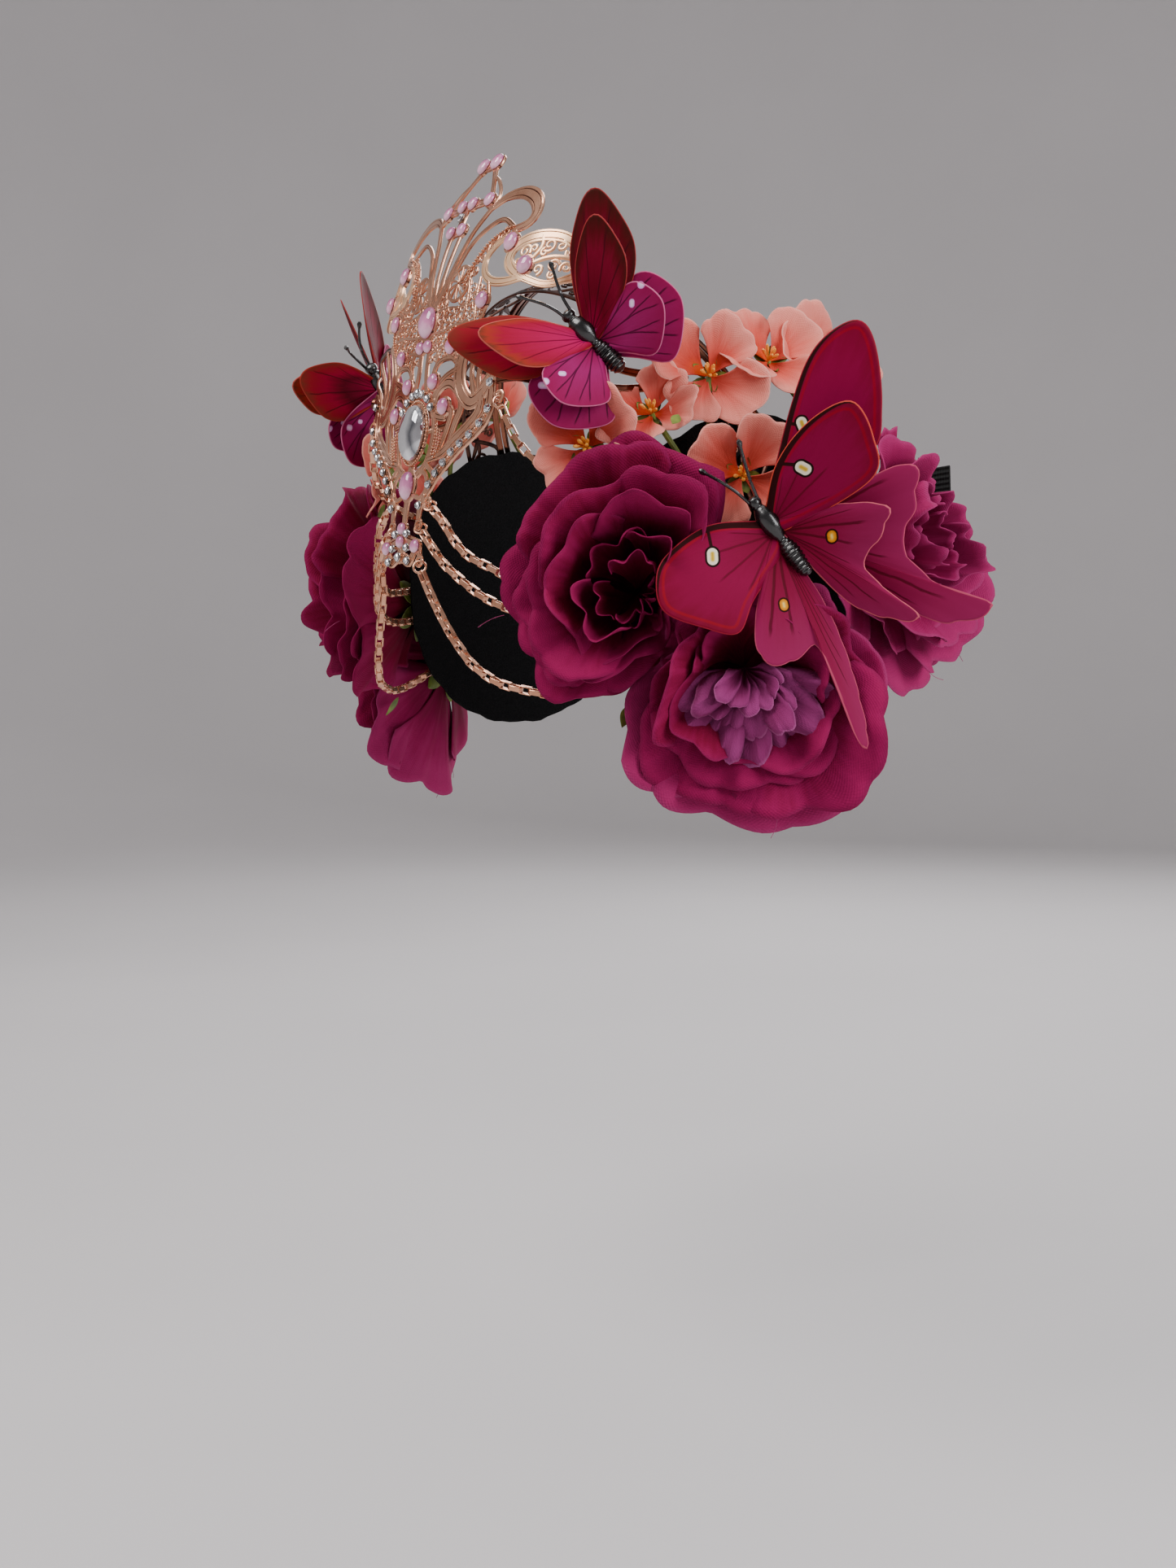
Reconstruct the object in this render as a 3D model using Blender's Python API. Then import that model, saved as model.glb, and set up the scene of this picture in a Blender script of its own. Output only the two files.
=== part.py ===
"""Flower diadem: a pierced rose-gold crest on an arched band, with cloth flowers and butterflies.

Shapes are worked out in millimetres and written to the meshes in metres. +Z is up, the face
looks along -Y, and +X is the wearer's left. The origin is the middle of the hollow for the head.
"""
import math

import bpy
import numpy as np
from mathutils import Vector
from mathutils.geometry import delaunay_2d_cdt

for old in list(bpy.data.objects):
    bpy.data.objects.remove(old, do_unlink=True)

MM = 0.001
GAP = 0.3
SEAT_GAP = 0.5

# Head hollow, as half sizes of an ellipsoid
HEAD_HALF_WIDTH = 74.0
HEAD_HALF_DEPTH = 92.0
HEAD_TOP = 75.0

# Crest plate
PLATE_WALL = 0.8
FRONT_RADIUS = 150.0
TEMPLE_RADIUS = 28.0
FRONT_HALF_ARC = 40.0
BROW_Y = -94.3
LOWER_SLOPE = 0.145
LEAN_START = 52.0
LEAN_RATE = 0.0041
STROKE_STEP = 5.0
PINCH_PATCH = 0.45
EDGE_TOLERANCE = 0.28
SMALLEST_GAP = 0.5
LONGEST_EDGE = 10.0

# Arched headband
BAND_HALF_WIDTH = 78.4
BAND_FOOT_Y = -5.0
BAND_FORWARD = 40.0
BAND_HEIGHT = 78.0
BAND_WALL = 0.8
BAND_LENGTH = 260.0
# Place across the band and width of each rail
LOWER_RAIL = (-7.0, 4.6)
UPPER_RAIL = (8.0, 1.8)
END_BAR_WIDTH = 1.8
END_BAR_INSET = 0.8
VINE_REPEATS = 10
VINE_MIDDLE = 1.2
VINE_SWING = 6.6
VINE_WIDTH = 1.5
# The leaf of each repeat: share of the repeat, place across, width
VINE_LEAF = [(0.42, 2.6, 1.2), (0.60, 4.6, 1.2), (0.76, 8.0, 1.2)]

# Felt pads at the temples
PAD_OUTER_X = 77.0
PAD_WALL = 2.0
PAD_MIDDLE_Y = -8.0
PAD_MIDDLE_Z = -18.0
PAD_HALF_LENGTH = 52.0
PAD_HALF_HEIGHT = 50.0
FACET_HALF_Y = 10.0
FACET_LOW_Z = -27.0
# Twice the radius at which the felt falls away forwards and back, upwards and downwards
PAD_BEND_SIDES = 150.0
PAD_BEND_UP = 170.0
PAD_BEND_DOWN = 400.0

# Elastic strap
STRAP_WIDTH = 13.0
STRAP_WALL = 1.0
STRAP_MIDDLE_Z = 4.0
STRAP_STEP = 9.0
STRAP_BEHIND_PAD_Y = (20.0, 30.0, 38.0)
STRAP_ROUND_BACK = [(61.5, 54.0, 4.5), (48.0, 72.0, 5.0), (27.0, 86.5, 5.0), (0.0, 92.0, 5.0)]
# The cut end of the strap, as steps from where it leaves the strap
TAIL_START = np.array([61.5, 54.0, 7.0])
TAIL_LIFT = 1.8
TAIL_STEPS = [(6, 2, 2), (13, 4.5, 5), (20, 7, 6)]
TAIL_FACE = (0.2, -1.0, 0.15)
TAIL_WIDTH = 12.0

CHAIN_WIDTH = 2.4
CHAIN_STEP = 7.2
WING_WALL = 1.0

COLOURS = {
    "rose_gold": ((0.74, 0.42, 0.29), 0.25, 1.0),
    "dark_copper": ((0.16, 0.07, 0.05), 0.35, 1.0),
    "pink_glass": ((0.80, 0.42, 0.62), 0.12, 0.0),
    "clear_glass": ((0.78, 0.80, 0.84), 0.06, 0.2),
    "black_felt": ((0.02, 0.02, 0.02), 0.95, 0.0),
    "magenta_cloth": ((0.42, 0.02, 0.17), 0.8, 0.0),
    "salmon_cloth": ((0.80, 0.32, 0.24), 0.8, 0.0),
    "crimson_wing": ((0.52, 0.01, 0.09), 0.5, 0.0),
}


def material(name):
    """One Principled material for each finish."""
    found = bpy.data.materials.get(name)
    if found:
        return found
    colour, roughness, metallic = COLOURS[name]
    new = bpy.data.materials.new(name)
    new.use_nodes = True
    shader = new.node_tree.nodes["Principled BSDF"]
    shader.inputs["Base Color"].default_value = (*colour, 1.0)
    shader.inputs["Roughness"].default_value = roughness
    shader.inputs["Metallic"].default_value = metallic
    return new


def add_mesh(name, points, faces, finish, smooth=False):
    """An object from points in millimetres, with its faces turned outwards."""
    points = np.asarray(points, float)
    volume = 0.0
    for face in faces:
        a, b, c = points[face[0]], points[face[1]], points[face[2]]
        volume += np.dot(a, np.cross(b, c))
        if len(face) == 4:
            volume += np.dot(a, np.cross(c, points[face[3]]))
    if volume < 0:
        faces = [tuple(reversed(face)) for face in faces]
    mesh = bpy.data.meshes.new(name)
    mesh.from_pydata((points * MM).tolist(), [], faces)
    mesh.materials.append(material(finish))
    if smooth:
        mesh.shade_smooth()
        mesh.set_sharp_from_angle(angle=math.radians(50))
    made = bpy.data.objects.new(name, mesh)
    bpy.context.scene.collection.objects.link(made)
    return made


def unit(vector):
    vector = np.asarray(vector, float)
    return vector / np.linalg.norm(vector)


def smooth_line(rows, step):
    """Catmull-Rom curve through the rows, sampled about every step millimetres."""
    rows = np.asarray(rows, float)
    ends = np.vstack([2 * rows[0] - rows[1], rows, 2 * rows[-1] - rows[-2]])
    out = []
    for i in range(len(rows) - 1):
        a, b, c, d = ends[i:i + 4]
        count = max(1, round(np.linalg.norm((c - b)[:2]) / step))
        for t in np.arange(count) / count:
            out.append(0.5 * (2 * b + (c - a) * t + (2 * a - 5 * b + 4 * c - d) * t ** 2
                              + (3 * b - a - 3 * c + d) * t ** 3))
    out.append(rows[-1])
    return np.array(out)


# Flat shapes: every shape is a list of small convex outlines in two dimensions

def stroke(rows, step=STROKE_STEP):
    """A ribbon along a smooth line; a row is its place across, its place up and its width."""
    line = smooth_line(rows, step)
    along = np.gradient(line[:, :2], axis=0)
    along /= np.linalg.norm(along, axis=1)[:, None]
    aside = np.stack([-along[:, 1], along[:, 0]], 1) * line[:, 2:3] / 2
    left, right = line[:, :2] + aside, line[:, :2] - aside
    return [[left[i], right[i], right[i + 1], left[i + 1]] for i in range(len(line) - 1)]


def oval(x, y, half_x, half_y, sides=10):
    turn = np.arange(sides) * 2 * math.pi / sides
    return [np.stack([x + half_x * np.cos(turn), y + half_y * np.sin(turn)], 1)]


def ring(x, y, radius, width, sides=10):
    turn = np.arange(sides + 1) * 2 * math.pi / sides
    way = np.stack([np.cos(turn), np.sin(turn)], 1)
    inner = (x, y) + way * (radius - width / 2)
    outer = (x, y) + way * (radius + width / 2)
    return [[inner[i], outer[i], outer[i + 1], inner[i + 1]] for i in range(sides)]


def mirrored(shapes):
    return [np.asarray(shape) * (-1, 1) for shape in shapes]


def both_sides(shapes):
    return list(shapes) + mirrored(shapes)


def triangulate(shapes):
    """Triangles that cover at least one of the outlines."""
    points = []
    outlines = []
    for shape in shapes:
        shape = np.asarray(shape)
        if loop_area(shape) < 0:
            shape = shape[::-1]
        outlines.append(list(range(len(points), len(points) + len(shape))))
        points += [Vector(place) for place in shape]
    flat, _, faces, _, _, sources = delaunay_2d_cdt(points, [], outlines, 0, 1e-3)
    kept = [tuple(face) for face, source in zip(faces, sources) if source]
    return np.array([tuple(place) for place in flat]), kept


def rim_of(faces):
    """Directed edges that only one triangle uses."""
    edges = {(face[i], face[(i + 1) % 3]) for face in faces for i in range(3)}
    return [edge for edge in edges if (edge[1], edge[0]) not in edges]


def covered(shapes):
    """Closed edge loops of the outlines' union, with places that meet at one point filled."""
    for _ in range(6):
        flat, faces = triangulate(shapes)
        rim = rim_of(faces)
        leaving = [edge[0] for edge in rim]
        pinched = {vert for vert in leaving if leaving.count(vert) > 1}
        if not pinched:
            break
        for vert in sorted(pinched):
            shapes = shapes + oval(*flat[vert], PINCH_PATCH, PINCH_PATCH, 6)
    following = dict(rim)
    loops = []
    while following:
        start, vert = following.popitem()
        loop = [start]
        while vert != start:
            loop.append(vert)
            vert = following.pop(vert)
        loop = thinned(flat[loop])
        if abs(loop_area(loop)) > SMALLEST_GAP:
            loops.append(loop)
    return loops


def loop_area(loop):
    x, y = loop[:, 0], loop[:, 1]
    return np.sum(x * np.roll(y, -1) - y * np.roll(x, -1)) / 2


def thinned(loop):
    """The loop without the points that hardly bend it."""
    kept = [loop[0]]
    for i in range(1, len(loop)):
        before, here, after = kept[-1], loop[i], loop[(i + 1) % len(loop)]
        chord = after - before
        bend = abs(chord[0] * (here - before)[1] - chord[1] * (here - before)[0])
        bent = bend / max(np.linalg.norm(chord), 1e-9) > EDGE_TOLERANCE
        if bent or np.linalg.norm(chord) > LONGEST_EDGE:
            kept.append(here)
    return np.array(kept)


def filled(loops, rings, loose):
    """Triangles inside the loops; the loops' points keep their order as the first points."""
    points, edges = [], []
    for loop in list(loops) + list(rings):
        start = len(points)
        points += [Vector(place) for place in loop]
        edges += [(start + i, start + (i + 1) % len(loop)) for i in range(len(loop))]
    points += [Vector(place) for place in loose]
    flat, _, faces, sources, _, _ = delaunay_2d_cdt(points, edges, [], 0, 1e-4)
    flat = np.array([tuple(place) for place in flat])
    place_of = {old: new for new, olds in enumerate(sources) for old in olds}
    a = np.concatenate(loops)
    b = np.concatenate([np.roll(loop, -1, axis=0) for loop in loops])
    kept = []
    for face in faces:
        x, y = flat[list(face)].mean(axis=0)
        spans = (a[:, 1] > y) != (b[:, 1] > y)
        cut = a[spans, 0] + (y - a[spans, 1]) * (b[spans, 0] - a[spans, 0]) / (
            b[spans, 1] - a[spans, 1])
        if np.count_nonzero(cut > x) % 2:
            kept.append(tuple(face))
    return flat, kept, [place_of[i] for i in range(len(a))]


def sheet(shapes, place, wall, relief=None, rings=(), loose=()):
    """Points and faces of a closed sheet: place(x, y, height) bends it, relief raises its face."""
    loops = covered(shapes)
    front_flat, front_faces, front_rim = filled(loops, rings, loose)
    back_flat, back_faces, back_rim = filled(loops, (), loose)
    raised = np.full(len(front_flat), wall / 2)
    if relief:
        raised = raised + relief(front_flat[:, 0], front_flat[:, 1])
    front = place(front_flat[:, 0], front_flat[:, 1], raised)
    back = place(back_flat[:, 0], back_flat[:, 1], np.full(len(back_flat), -wall / 2))
    count = len(front)
    solid = list(front_faces)
    solid += [tuple(vert + count for vert in reversed(face)) for face in back_faces]
    start = 0
    for loop in loops:
        for i in range(len(loop)):
            j = start + (i + 1) % len(loop)
            a, b = front_rim[start + i], front_rim[j]
            c, d = back_rim[start + i] + count, back_rim[j] + count
            solid += [(b, a, c), (b, c, d)]
        start += len(loop)
    return np.vstack([front, back]), solid


# Crest plate surface

FRONT_TURN = FRONT_HALF_ARC / FRONT_RADIUS
TEMPLE_END = FRONT_HALF_ARC + TEMPLE_RADIUS * (math.pi / 2 - FRONT_TURN)


def crest_plan(across):
    """Plan of the plate: a wide arc in front, tight arcs at the temples, then straight back."""
    far = np.abs(across)
    turn = np.where(far < FRONT_HALF_ARC, far / FRONT_RADIUS,
                    FRONT_TURN + (far - FRONT_HALF_ARC) / TEMPLE_RADIUS)
    turn = np.minimum(turn, math.pi / 2)
    wide_x = FRONT_RADIUS * np.sin(np.minimum(turn, FRONT_TURN))
    wide_y = FRONT_RADIUS * (1 - np.cos(np.minimum(turn, FRONT_TURN)))
    later = np.maximum(turn, FRONT_TURN)
    tight_x = TEMPLE_RADIUS * (np.sin(later) - math.sin(FRONT_TURN))
    tight_y = TEMPLE_RADIUS * (math.cos(FRONT_TURN) - np.cos(later))
    straight = np.maximum(far - TEMPLE_END, 0)
    side = np.sign(across)
    return side * (wide_x + tight_x), wide_y + tight_y + straight, side * turn


def crest_place(across, up, height):
    """Point of the crest: height is measured outwards from the middle of the plate."""
    x, back, turn = crest_plan(across)
    over = np.maximum(up - LEAN_START, 0)
    y = BROW_Y + LOWER_SLOPE * up + LEAN_RATE * over ** 2 + back
    tilt = np.arctan(LOWER_SLOPE + 2 * LEAN_RATE * over)
    flat = np.cos(tilt)
    return np.stack([x + height * np.sin(turn) * flat,
                     y - height * np.cos(turn) * flat,
                     up + height * np.sin(tilt)], -1)


# Headband surface

def band_place(along, across, height):
    """Point of the arched band: along runs from the left foot to the right foot."""
    turn = math.pi * along / BAND_LENGTH
    middle = np.stack([BAND_HALF_WIDTH * np.cos(turn),
                       BAND_FOOT_Y - BAND_FORWARD * np.sin(turn),
                       BAND_HEIGHT * np.sin(turn)], -1)
    tangent = np.stack([-BAND_HALF_WIDTH * np.sin(turn),
                        -BAND_FORWARD * np.cos(turn),
                        BAND_HEIGHT * np.cos(turn)], -1)
    tangent /= np.linalg.norm(tangent, axis=-1, keepdims=True)
    outward = middle / (HEAD_HALF_WIDTH ** 2, HEAD_HALF_DEPTH ** 2, HEAD_TOP ** 2)
    outward -= tangent * np.sum(tangent * outward, -1, keepdims=True)
    outward /= np.linalg.norm(outward, axis=-1, keepdims=True)
    aside = np.cross(outward, tangent)
    across = np.asarray(across, float)[..., None]
    curve = across ** 2 / (2 * HEAD_HALF_DEPTH)
    return middle + aside * across + outward * (np.asarray(height)[..., None] - curve)


WING_BLEND_START = 56.0
WING_BLEND_END = 80.0
WING_END = 90.0
WING_UP = 48.0
WING_ALONG = 54.0


def wing_place(across, up, height):
    """The crest, with its rear wings turned onto the outer face of the headband."""
    crest = crest_place(across, up, height)
    side = np.sign(across)
    far = np.abs(across)
    lift = BAND_WALL / 2 + SEAT_GAP + PLATE_WALL / 2
    seat = band_place(WING_ALONG + (up - WING_UP), WING_END - far, height + lift)
    seat[:, 0] *= side
    mix = np.clip((far - WING_BLEND_START) / (WING_BLEND_END - WING_BLEND_START), 0, 1)
    mix = (mix * mix * (3 - 2 * mix))[:, None]
    return crest * (1 - mix) + seat * mix


# Crest ornament: each line of a curl is (across, up, width)

CURLS = {
    "top_stem": [(3, 114.5, 2.4), (9, 106.5, 1.4), (13, 100, 2.0)],
    "top_twig": [(7, 109.5, 1.0), (12, 106.5, 1.3), (16.5, 101.5, 1.3), (16, 97, 1.3)],
    "loop": [(13, 98, 1.6), (16, 97, 1.6), (22, 99.5, 2.2), (30, 99.5, 3.4), (36.5, 96.5, 3.8),
             (39.5, 92, 3.4), (38, 88.5, 2.6), (33, 87, 2.6)],
    "rib_inner": [(1, 66, 2.4), (2.2, 79, 1.5), (3.2, 91, 1.5)],
    "rib_middle": [(2, 67, 2.4), (6, 77, 1.7), (8.5, 84, 1.5), (11, 90, 1.5), (16, 97, 1.8)],
    "rib_outer": [(3, 68, 2.2), (8.5, 78.5, 1.5), (13, 86, 1.4), (20, 90.6, 1.4),
                  (26, 91.3, 1.6), (33, 87, 2.0)],
    "beaded_band": [(17.5, 72, 5.2), (20, 79, 5.0), (24, 83.5, 4.4), (28, 86, 3.6), (33, 87, 3.0)],
    "crescent": [(31, 84, 1.8), (26, 82.3, 1.8), (22.8, 78.5, 2.0), (24.5, 74.5, 2.2),
                 (29, 71.5, 2.4), (35, 70.5, 2.2), (42, 71, 2.2)],
    "scroll": [(42, 71, 2.4), (37.5, 73.6, 2.8), (34.6, 77, 2.8), (35.4, 80.6, 2.8),
               (39.5, 82.8, 3.2), (46, 83.4, 3.4), (53, 82.2, 3.0), (58.5, 78.5, 2.6),
               (60.5, 74, 2.2), (57.5, 69.5, 2.0), (50.5, 68, 2.0), (42, 71, 2.2)],
    "scroll_leaf_a": [(43, 75, 1.2), (46.5, 79.5, 1.2), (46, 83, 1.2)],
    "scroll_leaf_b": [(43, 74.5, 1.2), (51, 76.2, 1.2), (60, 75, 1.2)],
    "filigree_side": [(28, 71, 1.6), (29.5, 66, 1.6), (28, 60, 1.6), (23, 53, 1.8)],
    "net_rise_a": [(6.5, 44, 1.2), (8, 50, 1.2), (6.5, 56, 1.2), (8.2, 63, 1.2), (7, 70, 1.2)],
    "net_rise_c": [(18, 48, 1.2), (19.5, 54, 1.2), (18.5, 60, 1.2), (19.5, 66, 1.2),
                   (18.5, 72, 1.2)],
    "net_rise_d": [(24, 54, 1.2), (25, 60, 1.2), (24, 66, 1.2), (23.5, 73, 1.2)],
    "net_row_a": [(3, 52, 1.2), (10, 53.5, 1.2), (16, 52.5, 1.2), (23, 54, 1.4)],
    "net_row_b": [(3, 58, 1.2), (10, 58.4, 1.2), (17, 59.5, 1.2), (27, 59, 1.2)],
    "net_row_c": [(3, 65, 1.2), (10, 65.5, 1.2), (17, 65, 1.2), (28, 66, 1.2)],
    "outer_leaf": [(28, 58, 2.0), (24, 53.5, 3.8), (21.5, 48, 4.4), (21.5, 42, 4.4), (24, 37.2, 4.0),
                   (28.5, 34.2, 3.6), (33, 36.5, 3.4)],
    "frond_1": [(29.5, 37, 2.4), (27.2, 44, 1.5), (28.6, 50, 1.5), (33, 57, 1.5)],
    "frond_2": [(31, 38, 2.2), (30.8, 44, 1.5), (34.5, 49, 1.5), (42, 55.5, 1.4)],
    "frond_3": [(33, 39, 2.2), (37, 44, 1.5), (43.5, 47.5, 1.5), (53, 52, 1.4)],
    "frond_4": [(35.5, 40, 2.2), (42, 43.8, 1.6), (50, 42.4, 1.8)],
    "lower_rail": [(37.5, 40, 2.4), (46, 40, 1.8), (55, 38.6, 1.8), (66, 41, 2.4), (78, 45, 3.2),
                   (91, 48, 6.0)],
    "upper_rail": [(26, 57, 2.0), (34, 57.6, 2.2), (45, 55, 2.0), (56, 51, 2.2), (68, 49, 2.8),
                   (80, 48, 4.0), (91, 48, 6.0)],
    "border": [(37, 41, 3.2), (37.4, 34, 3.4), (36, 29.3, 3.2), (32, 25.2, 3.0), (28, 22.6, 3.0),
               (24, 20, 3.0), (20, 16.8, 3.0), (16, 13.4, 3.0), (12.8, 9.6, 3.0), (9, 4.5, 2.6),
               (8.4, 0.2, 2.0)],
    "inner_border": [(33, 36, 2.2), (32.4, 31, 1.6), (28, 26.8, 1.6), (22.5, 23.2, 1.6),
                     (17, 19.6, 1.6), (10, 18, 1.8)],
    "spiral": [(15.5, 30.5, 1.8), (10.5, 32, 2.0), (9.4, 36.5, 2.0), (11.6, 40.4, 2.0),
               (17, 41.4, 2.0), (22.4, 38, 2.2)],
    "spiral_tail": [(22, 40, 1.8), (24, 33, 1.8), (22, 28, 1.8), (19.5, 21, 1.6)],
    "spiral_heart": [(15.5, 34, 1.6), (19.4, 32.5, 1.6), (18.4, 27, 1.6), (14.5, 19, 1.6)],
    "petal_window": [(10.5, 41, 1.6), (7.2, 45, 1.6), (10, 48.6, 1.6), (16, 49.2, 1.6),
                     (20, 47, 1.8)],
    "petal_window_low": [(10.5, 41, 1.6), (14.5, 43.6, 1.6), (20.5, 45.5, 1.6)],
    "middle_wire": [(2.6, 53, 1.8), (2.4, 47, 1.6), (3.4, 42, 1.8), (5.4, 37.5, 2.2)],
    "oval_frame": [(7, 37, 2.4), (10.6, 30.5, 2.2), (11, 24, 2.2), (8.8, 17, 2.2), (4, 13.6, 2.4)],
    "oval_frame_tie": [(7, 27, 1.6), (11, 27, 1.8)],
    "low_curl": [(5, 15, 1.6), (9.4, 13.4, 1.6), (10.6, 9, 1.6), (7.4, 6.2, 1.6), (3, 7.4, 1.6)],
    "low_tie": [(8.8, 17, 1.6), (12, 14.5, 1.6), (15, 12.6, 1.6)],
    "drop_arm": [(0, -6.5, 4.4), (4.6, -7.6, 4.2), (9.2, -9.1, 4.4), (11.2, -11.4, 2.2)],
    "drop_foot": [(0, -12, 3.6), (3, -12.8, 3.4), (6, -13.8, 3.2), (8.4, -10.5, 2.0)],
}
CREST_MIDDLE = {
    "top_tie": [(-4, 114.3, 3.0), (0, 114, 3.0), (4, 114.3, 3.0)],
    "star_row": [(-13, 100, 2.2), (-6, 100.2, 3.0), (0, 100.4, 3.4), (6, 100.2, 3.0),
                 (13, 100, 2.2)],
    "star_drop": [(0, 100, 2.0), (0, 96, 3.4), (0, 91.6, 3.0)],
    "star_foot": [(-5, 91.6, 2.2), (0, 91.4, 2.6), (5, 91.6, 2.2)],
    "root": [(0, 60, 4.0), (0, 66, 4.6), (0, 70, 2.2)],
    "crown_arc": [(-9, 34.6, 3.0), (-5.4, 38, 3.0), (0, 39.4, 3.0), (5.4, 38, 3.0), (9, 34.6, 3.0)],
    "stem": [(0, 16, 3.0), (0, 6, 3.0), (0, -3, 2.6), (0, -12, 4.6)],
}
DISC = (12.5, 73.0, 5.4, 1.5)
DISC_SPOKES = 2

# Stones: across, up, half width, half height, dome
LARGE_STONES = {
    "clear_oval": (0.0, 27.0, 6.5, 9.0, 4.2, "clear_glass"),
    "pink_oval_upper": (0.0, 62.0, 4.0, 5.0, 2.8, "pink_glass"),
    "pink_oval_lower": (0.0, 10.4, 3.3, 4.5, 2.5, "pink_glass"),
}
SIDE_STONES = [
    (33.5, 82.8, 2.4, 2.8, 1.9), (42.5, 74.4, 2.5, 2.8, 1.9), (27.5, 65.5, 2.3, 2.6, 1.8),
    (15.7, 52.6, 2.1, 2.4, 1.8), (8.2, 42.5, 2.2, 2.5, 1.8), (15.5, 34.0, 2.2, 2.6, 1.8),
]
# Stones fused to the plate: across, up, radius, height
SET_STONES = [
    (4.1, 114.5, 2.5, 1.8), (12.8, 100.0, 2.1, 1.6), (3.2, 100.4, 2.0, 1.6), (3.4, 91.7, 2.0, 1.6),
    (2.4, 54.2, 2.0, 1.6), (50.0, 42.4, 2.1, 1.5), (9.2, -9.1, 2.1, 1.6),
]
MIDDLE_SET_STONES = [(0.0, -3.2, 1.9, 1.6), (0.0, -7.4, 1.9, 1.6)]
CRYSTAL_RADIUS = 1.35
CRYSTAL_HEIGHT = 1.1
TABLE_SHARE = 0.58
# Rims of the seats round the large, the side and the fused stones
LARGE_SEAT_RIM = 0.9
SIDE_SEAT_RIM = 0.6
SET_SEAT_RIM = 0.35
CRYSTALS = [
    (8.9, 3.6), (3.7, -4.9), (4.6, -9.4), (6.0, -13.6),
]
MIDDLE_CRYSTALS = [(0.0, 96.0), (0.0, -12.0)]
# Tabs with a hole for a jump ring, left side
TABS = {"chain_1": (40.6, 35.0), "chain_2": (12.2, 4.6), "chain_3": (8.6, -2.2),
        "chain_4": (11.6, -13.8)}
TAB_RADIUS = 1.5
TAB_WIDTH = 1.1
TAB_LINKS = {"chain_1": (37.4, 36.0), "chain_2": (9.6, 5.6), "chain_3": (8.4, 0.4),
             "chain_4": (11.0, -11.6)}


def set_bumps():
    """Every stone fused to the plate, as (across, up, radius, height)."""
    rows = list(SET_STONES)
    rows += [(x, y, CRYSTAL_RADIUS, CRYSTAL_HEIGHT) for x, y in CRYSTALS]
    rows += [(-x, y, radius, height) for x, y, radius, height in rows]
    rows += MIDDLE_SET_STONES
    rows += [(x, y, CRYSTAL_RADIUS, CRYSTAL_HEIGHT) for x, y in MIDDLE_CRYSTALS]
    return rows


def crest_relief(x, y):
    """Cut stones: a sloping crown round a flat table."""
    raised = np.zeros(len(x))
    for cx, cy, radius, height in set_bumps():
        out = np.hypot(x - cx, y - cy) / radius
        raised = np.maximum(raised, height * np.clip((1 - out) / (1 - TABLE_SHARE), 0, 1))
    return raised


def crest_shapes():
    shapes = []
    for rows in CURLS.values():
        shapes += both_sides(stroke(rows))
    for rows in CREST_MIDDLE.values():
        shapes += stroke(rows)
    x, y, radius, width = DISC
    shapes += both_sides(ring(x, y, radius, width, 12))
    for spoke in range(DISC_SPOKES):
        turn = math.pi * spoke / DISC_SPOKES
        dx, dy = radius * math.cos(turn), radius * math.sin(turn)
        shapes += both_sides(stroke([(x - dx, y - dy, 1.1), (x + dx, y + dy, 1.1)], radius))
    for cx, cy, half_x, half_y, _, _ in LARGE_STONES.values():
        shapes += oval(cx, cy, half_x + LARGE_SEAT_RIM, half_y + LARGE_SEAT_RIM, 14)
    for cx, cy, half_x, half_y, _ in SIDE_STONES:
        shapes += both_sides(oval(cx, cy, half_x + SIDE_SEAT_RIM, half_y + SIDE_SEAT_RIM, 10))
    for cx, cy, radius, _ in set_bumps():
        shapes += oval(cx, cy, radius + SET_SEAT_RIM, radius + SET_SEAT_RIM, 8)
    for name, (cx, cy) in TABS.items():
        shapes += both_sides(ring(cx, cy, TAB_RADIUS, TAB_WIDTH, 6))
        lx, ly = TAB_LINKS[name]
        way = unit((cx - lx, cy - ly))
        shapes += both_sides(stroke([(lx, ly, 1.8), (cx - way[0] * TAB_RADIUS,
                                                     cy - way[1] * TAB_RADIUS, 1.8)], 9))
    return shapes


def make_crest():
    rings = []
    for cx, cy, radius, _ in set_bumps():
        rings += oval(cx, cy, radius, radius, 8)
        rings += oval(cx, cy, radius * TABLE_SHARE, radius * TABLE_SHARE, 8)
    points, faces = sheet(crest_shapes(), wing_place, PLATE_WALL, crest_relief, rings)
    add_mesh("crest_plate", points, faces, "rose_gold")


def make_stone(name, row, finish, side=1, sides=12):
    """A domed cabochon on the plate: a straight girdle, then two rings up to its crown."""
    cx, cy, half_x, half_y, dome = row
    base = PLATE_WALL / 2 + GAP
    rings = [(0.94, 0.0), (1.0, 0.22), (0.74, 0.76)]
    if sides > 10:
        rings = [(0.94, 0.0), (1.0, 0.22), (0.78, 0.70), (0.42, 0.95)]
    turn = np.arange(sides) * 2 * math.pi / sides
    points = [crest_place(np.array([side * cx]), np.array([cy]), np.array([base]))]
    for size, rise in rings:
        points.append(crest_place(side * (cx + half_x * size * np.cos(turn)),
                                  cy + half_y * size * np.sin(turn),
                                  np.full(sides, base + dome * rise)))
    points.append(crest_place(np.array([side * cx]), np.array([cy]), np.array([base + dome])))
    points = np.vstack(points)
    faces = turned_faces(sides, len(rings))
    add_mesh(name, points, faces, finish, smooth=True)


def turned_faces(sides, rows):
    """Faces of a turned shape with a pole at each end and rows of points between them."""
    faces = []
    last = 1 + sides * rows
    for i in range(sides):
        j = (i + 1) % sides
        faces.append((0, 1 + j, 1 + i))
        for row in range(rows - 1):
            a = 1 + row * sides
            b = a + sides
            faces.append((a + i, a + j, b + j, b + i))
        top = last - sides
        faces.append((top + i, top + j, last))
    return faces


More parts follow.
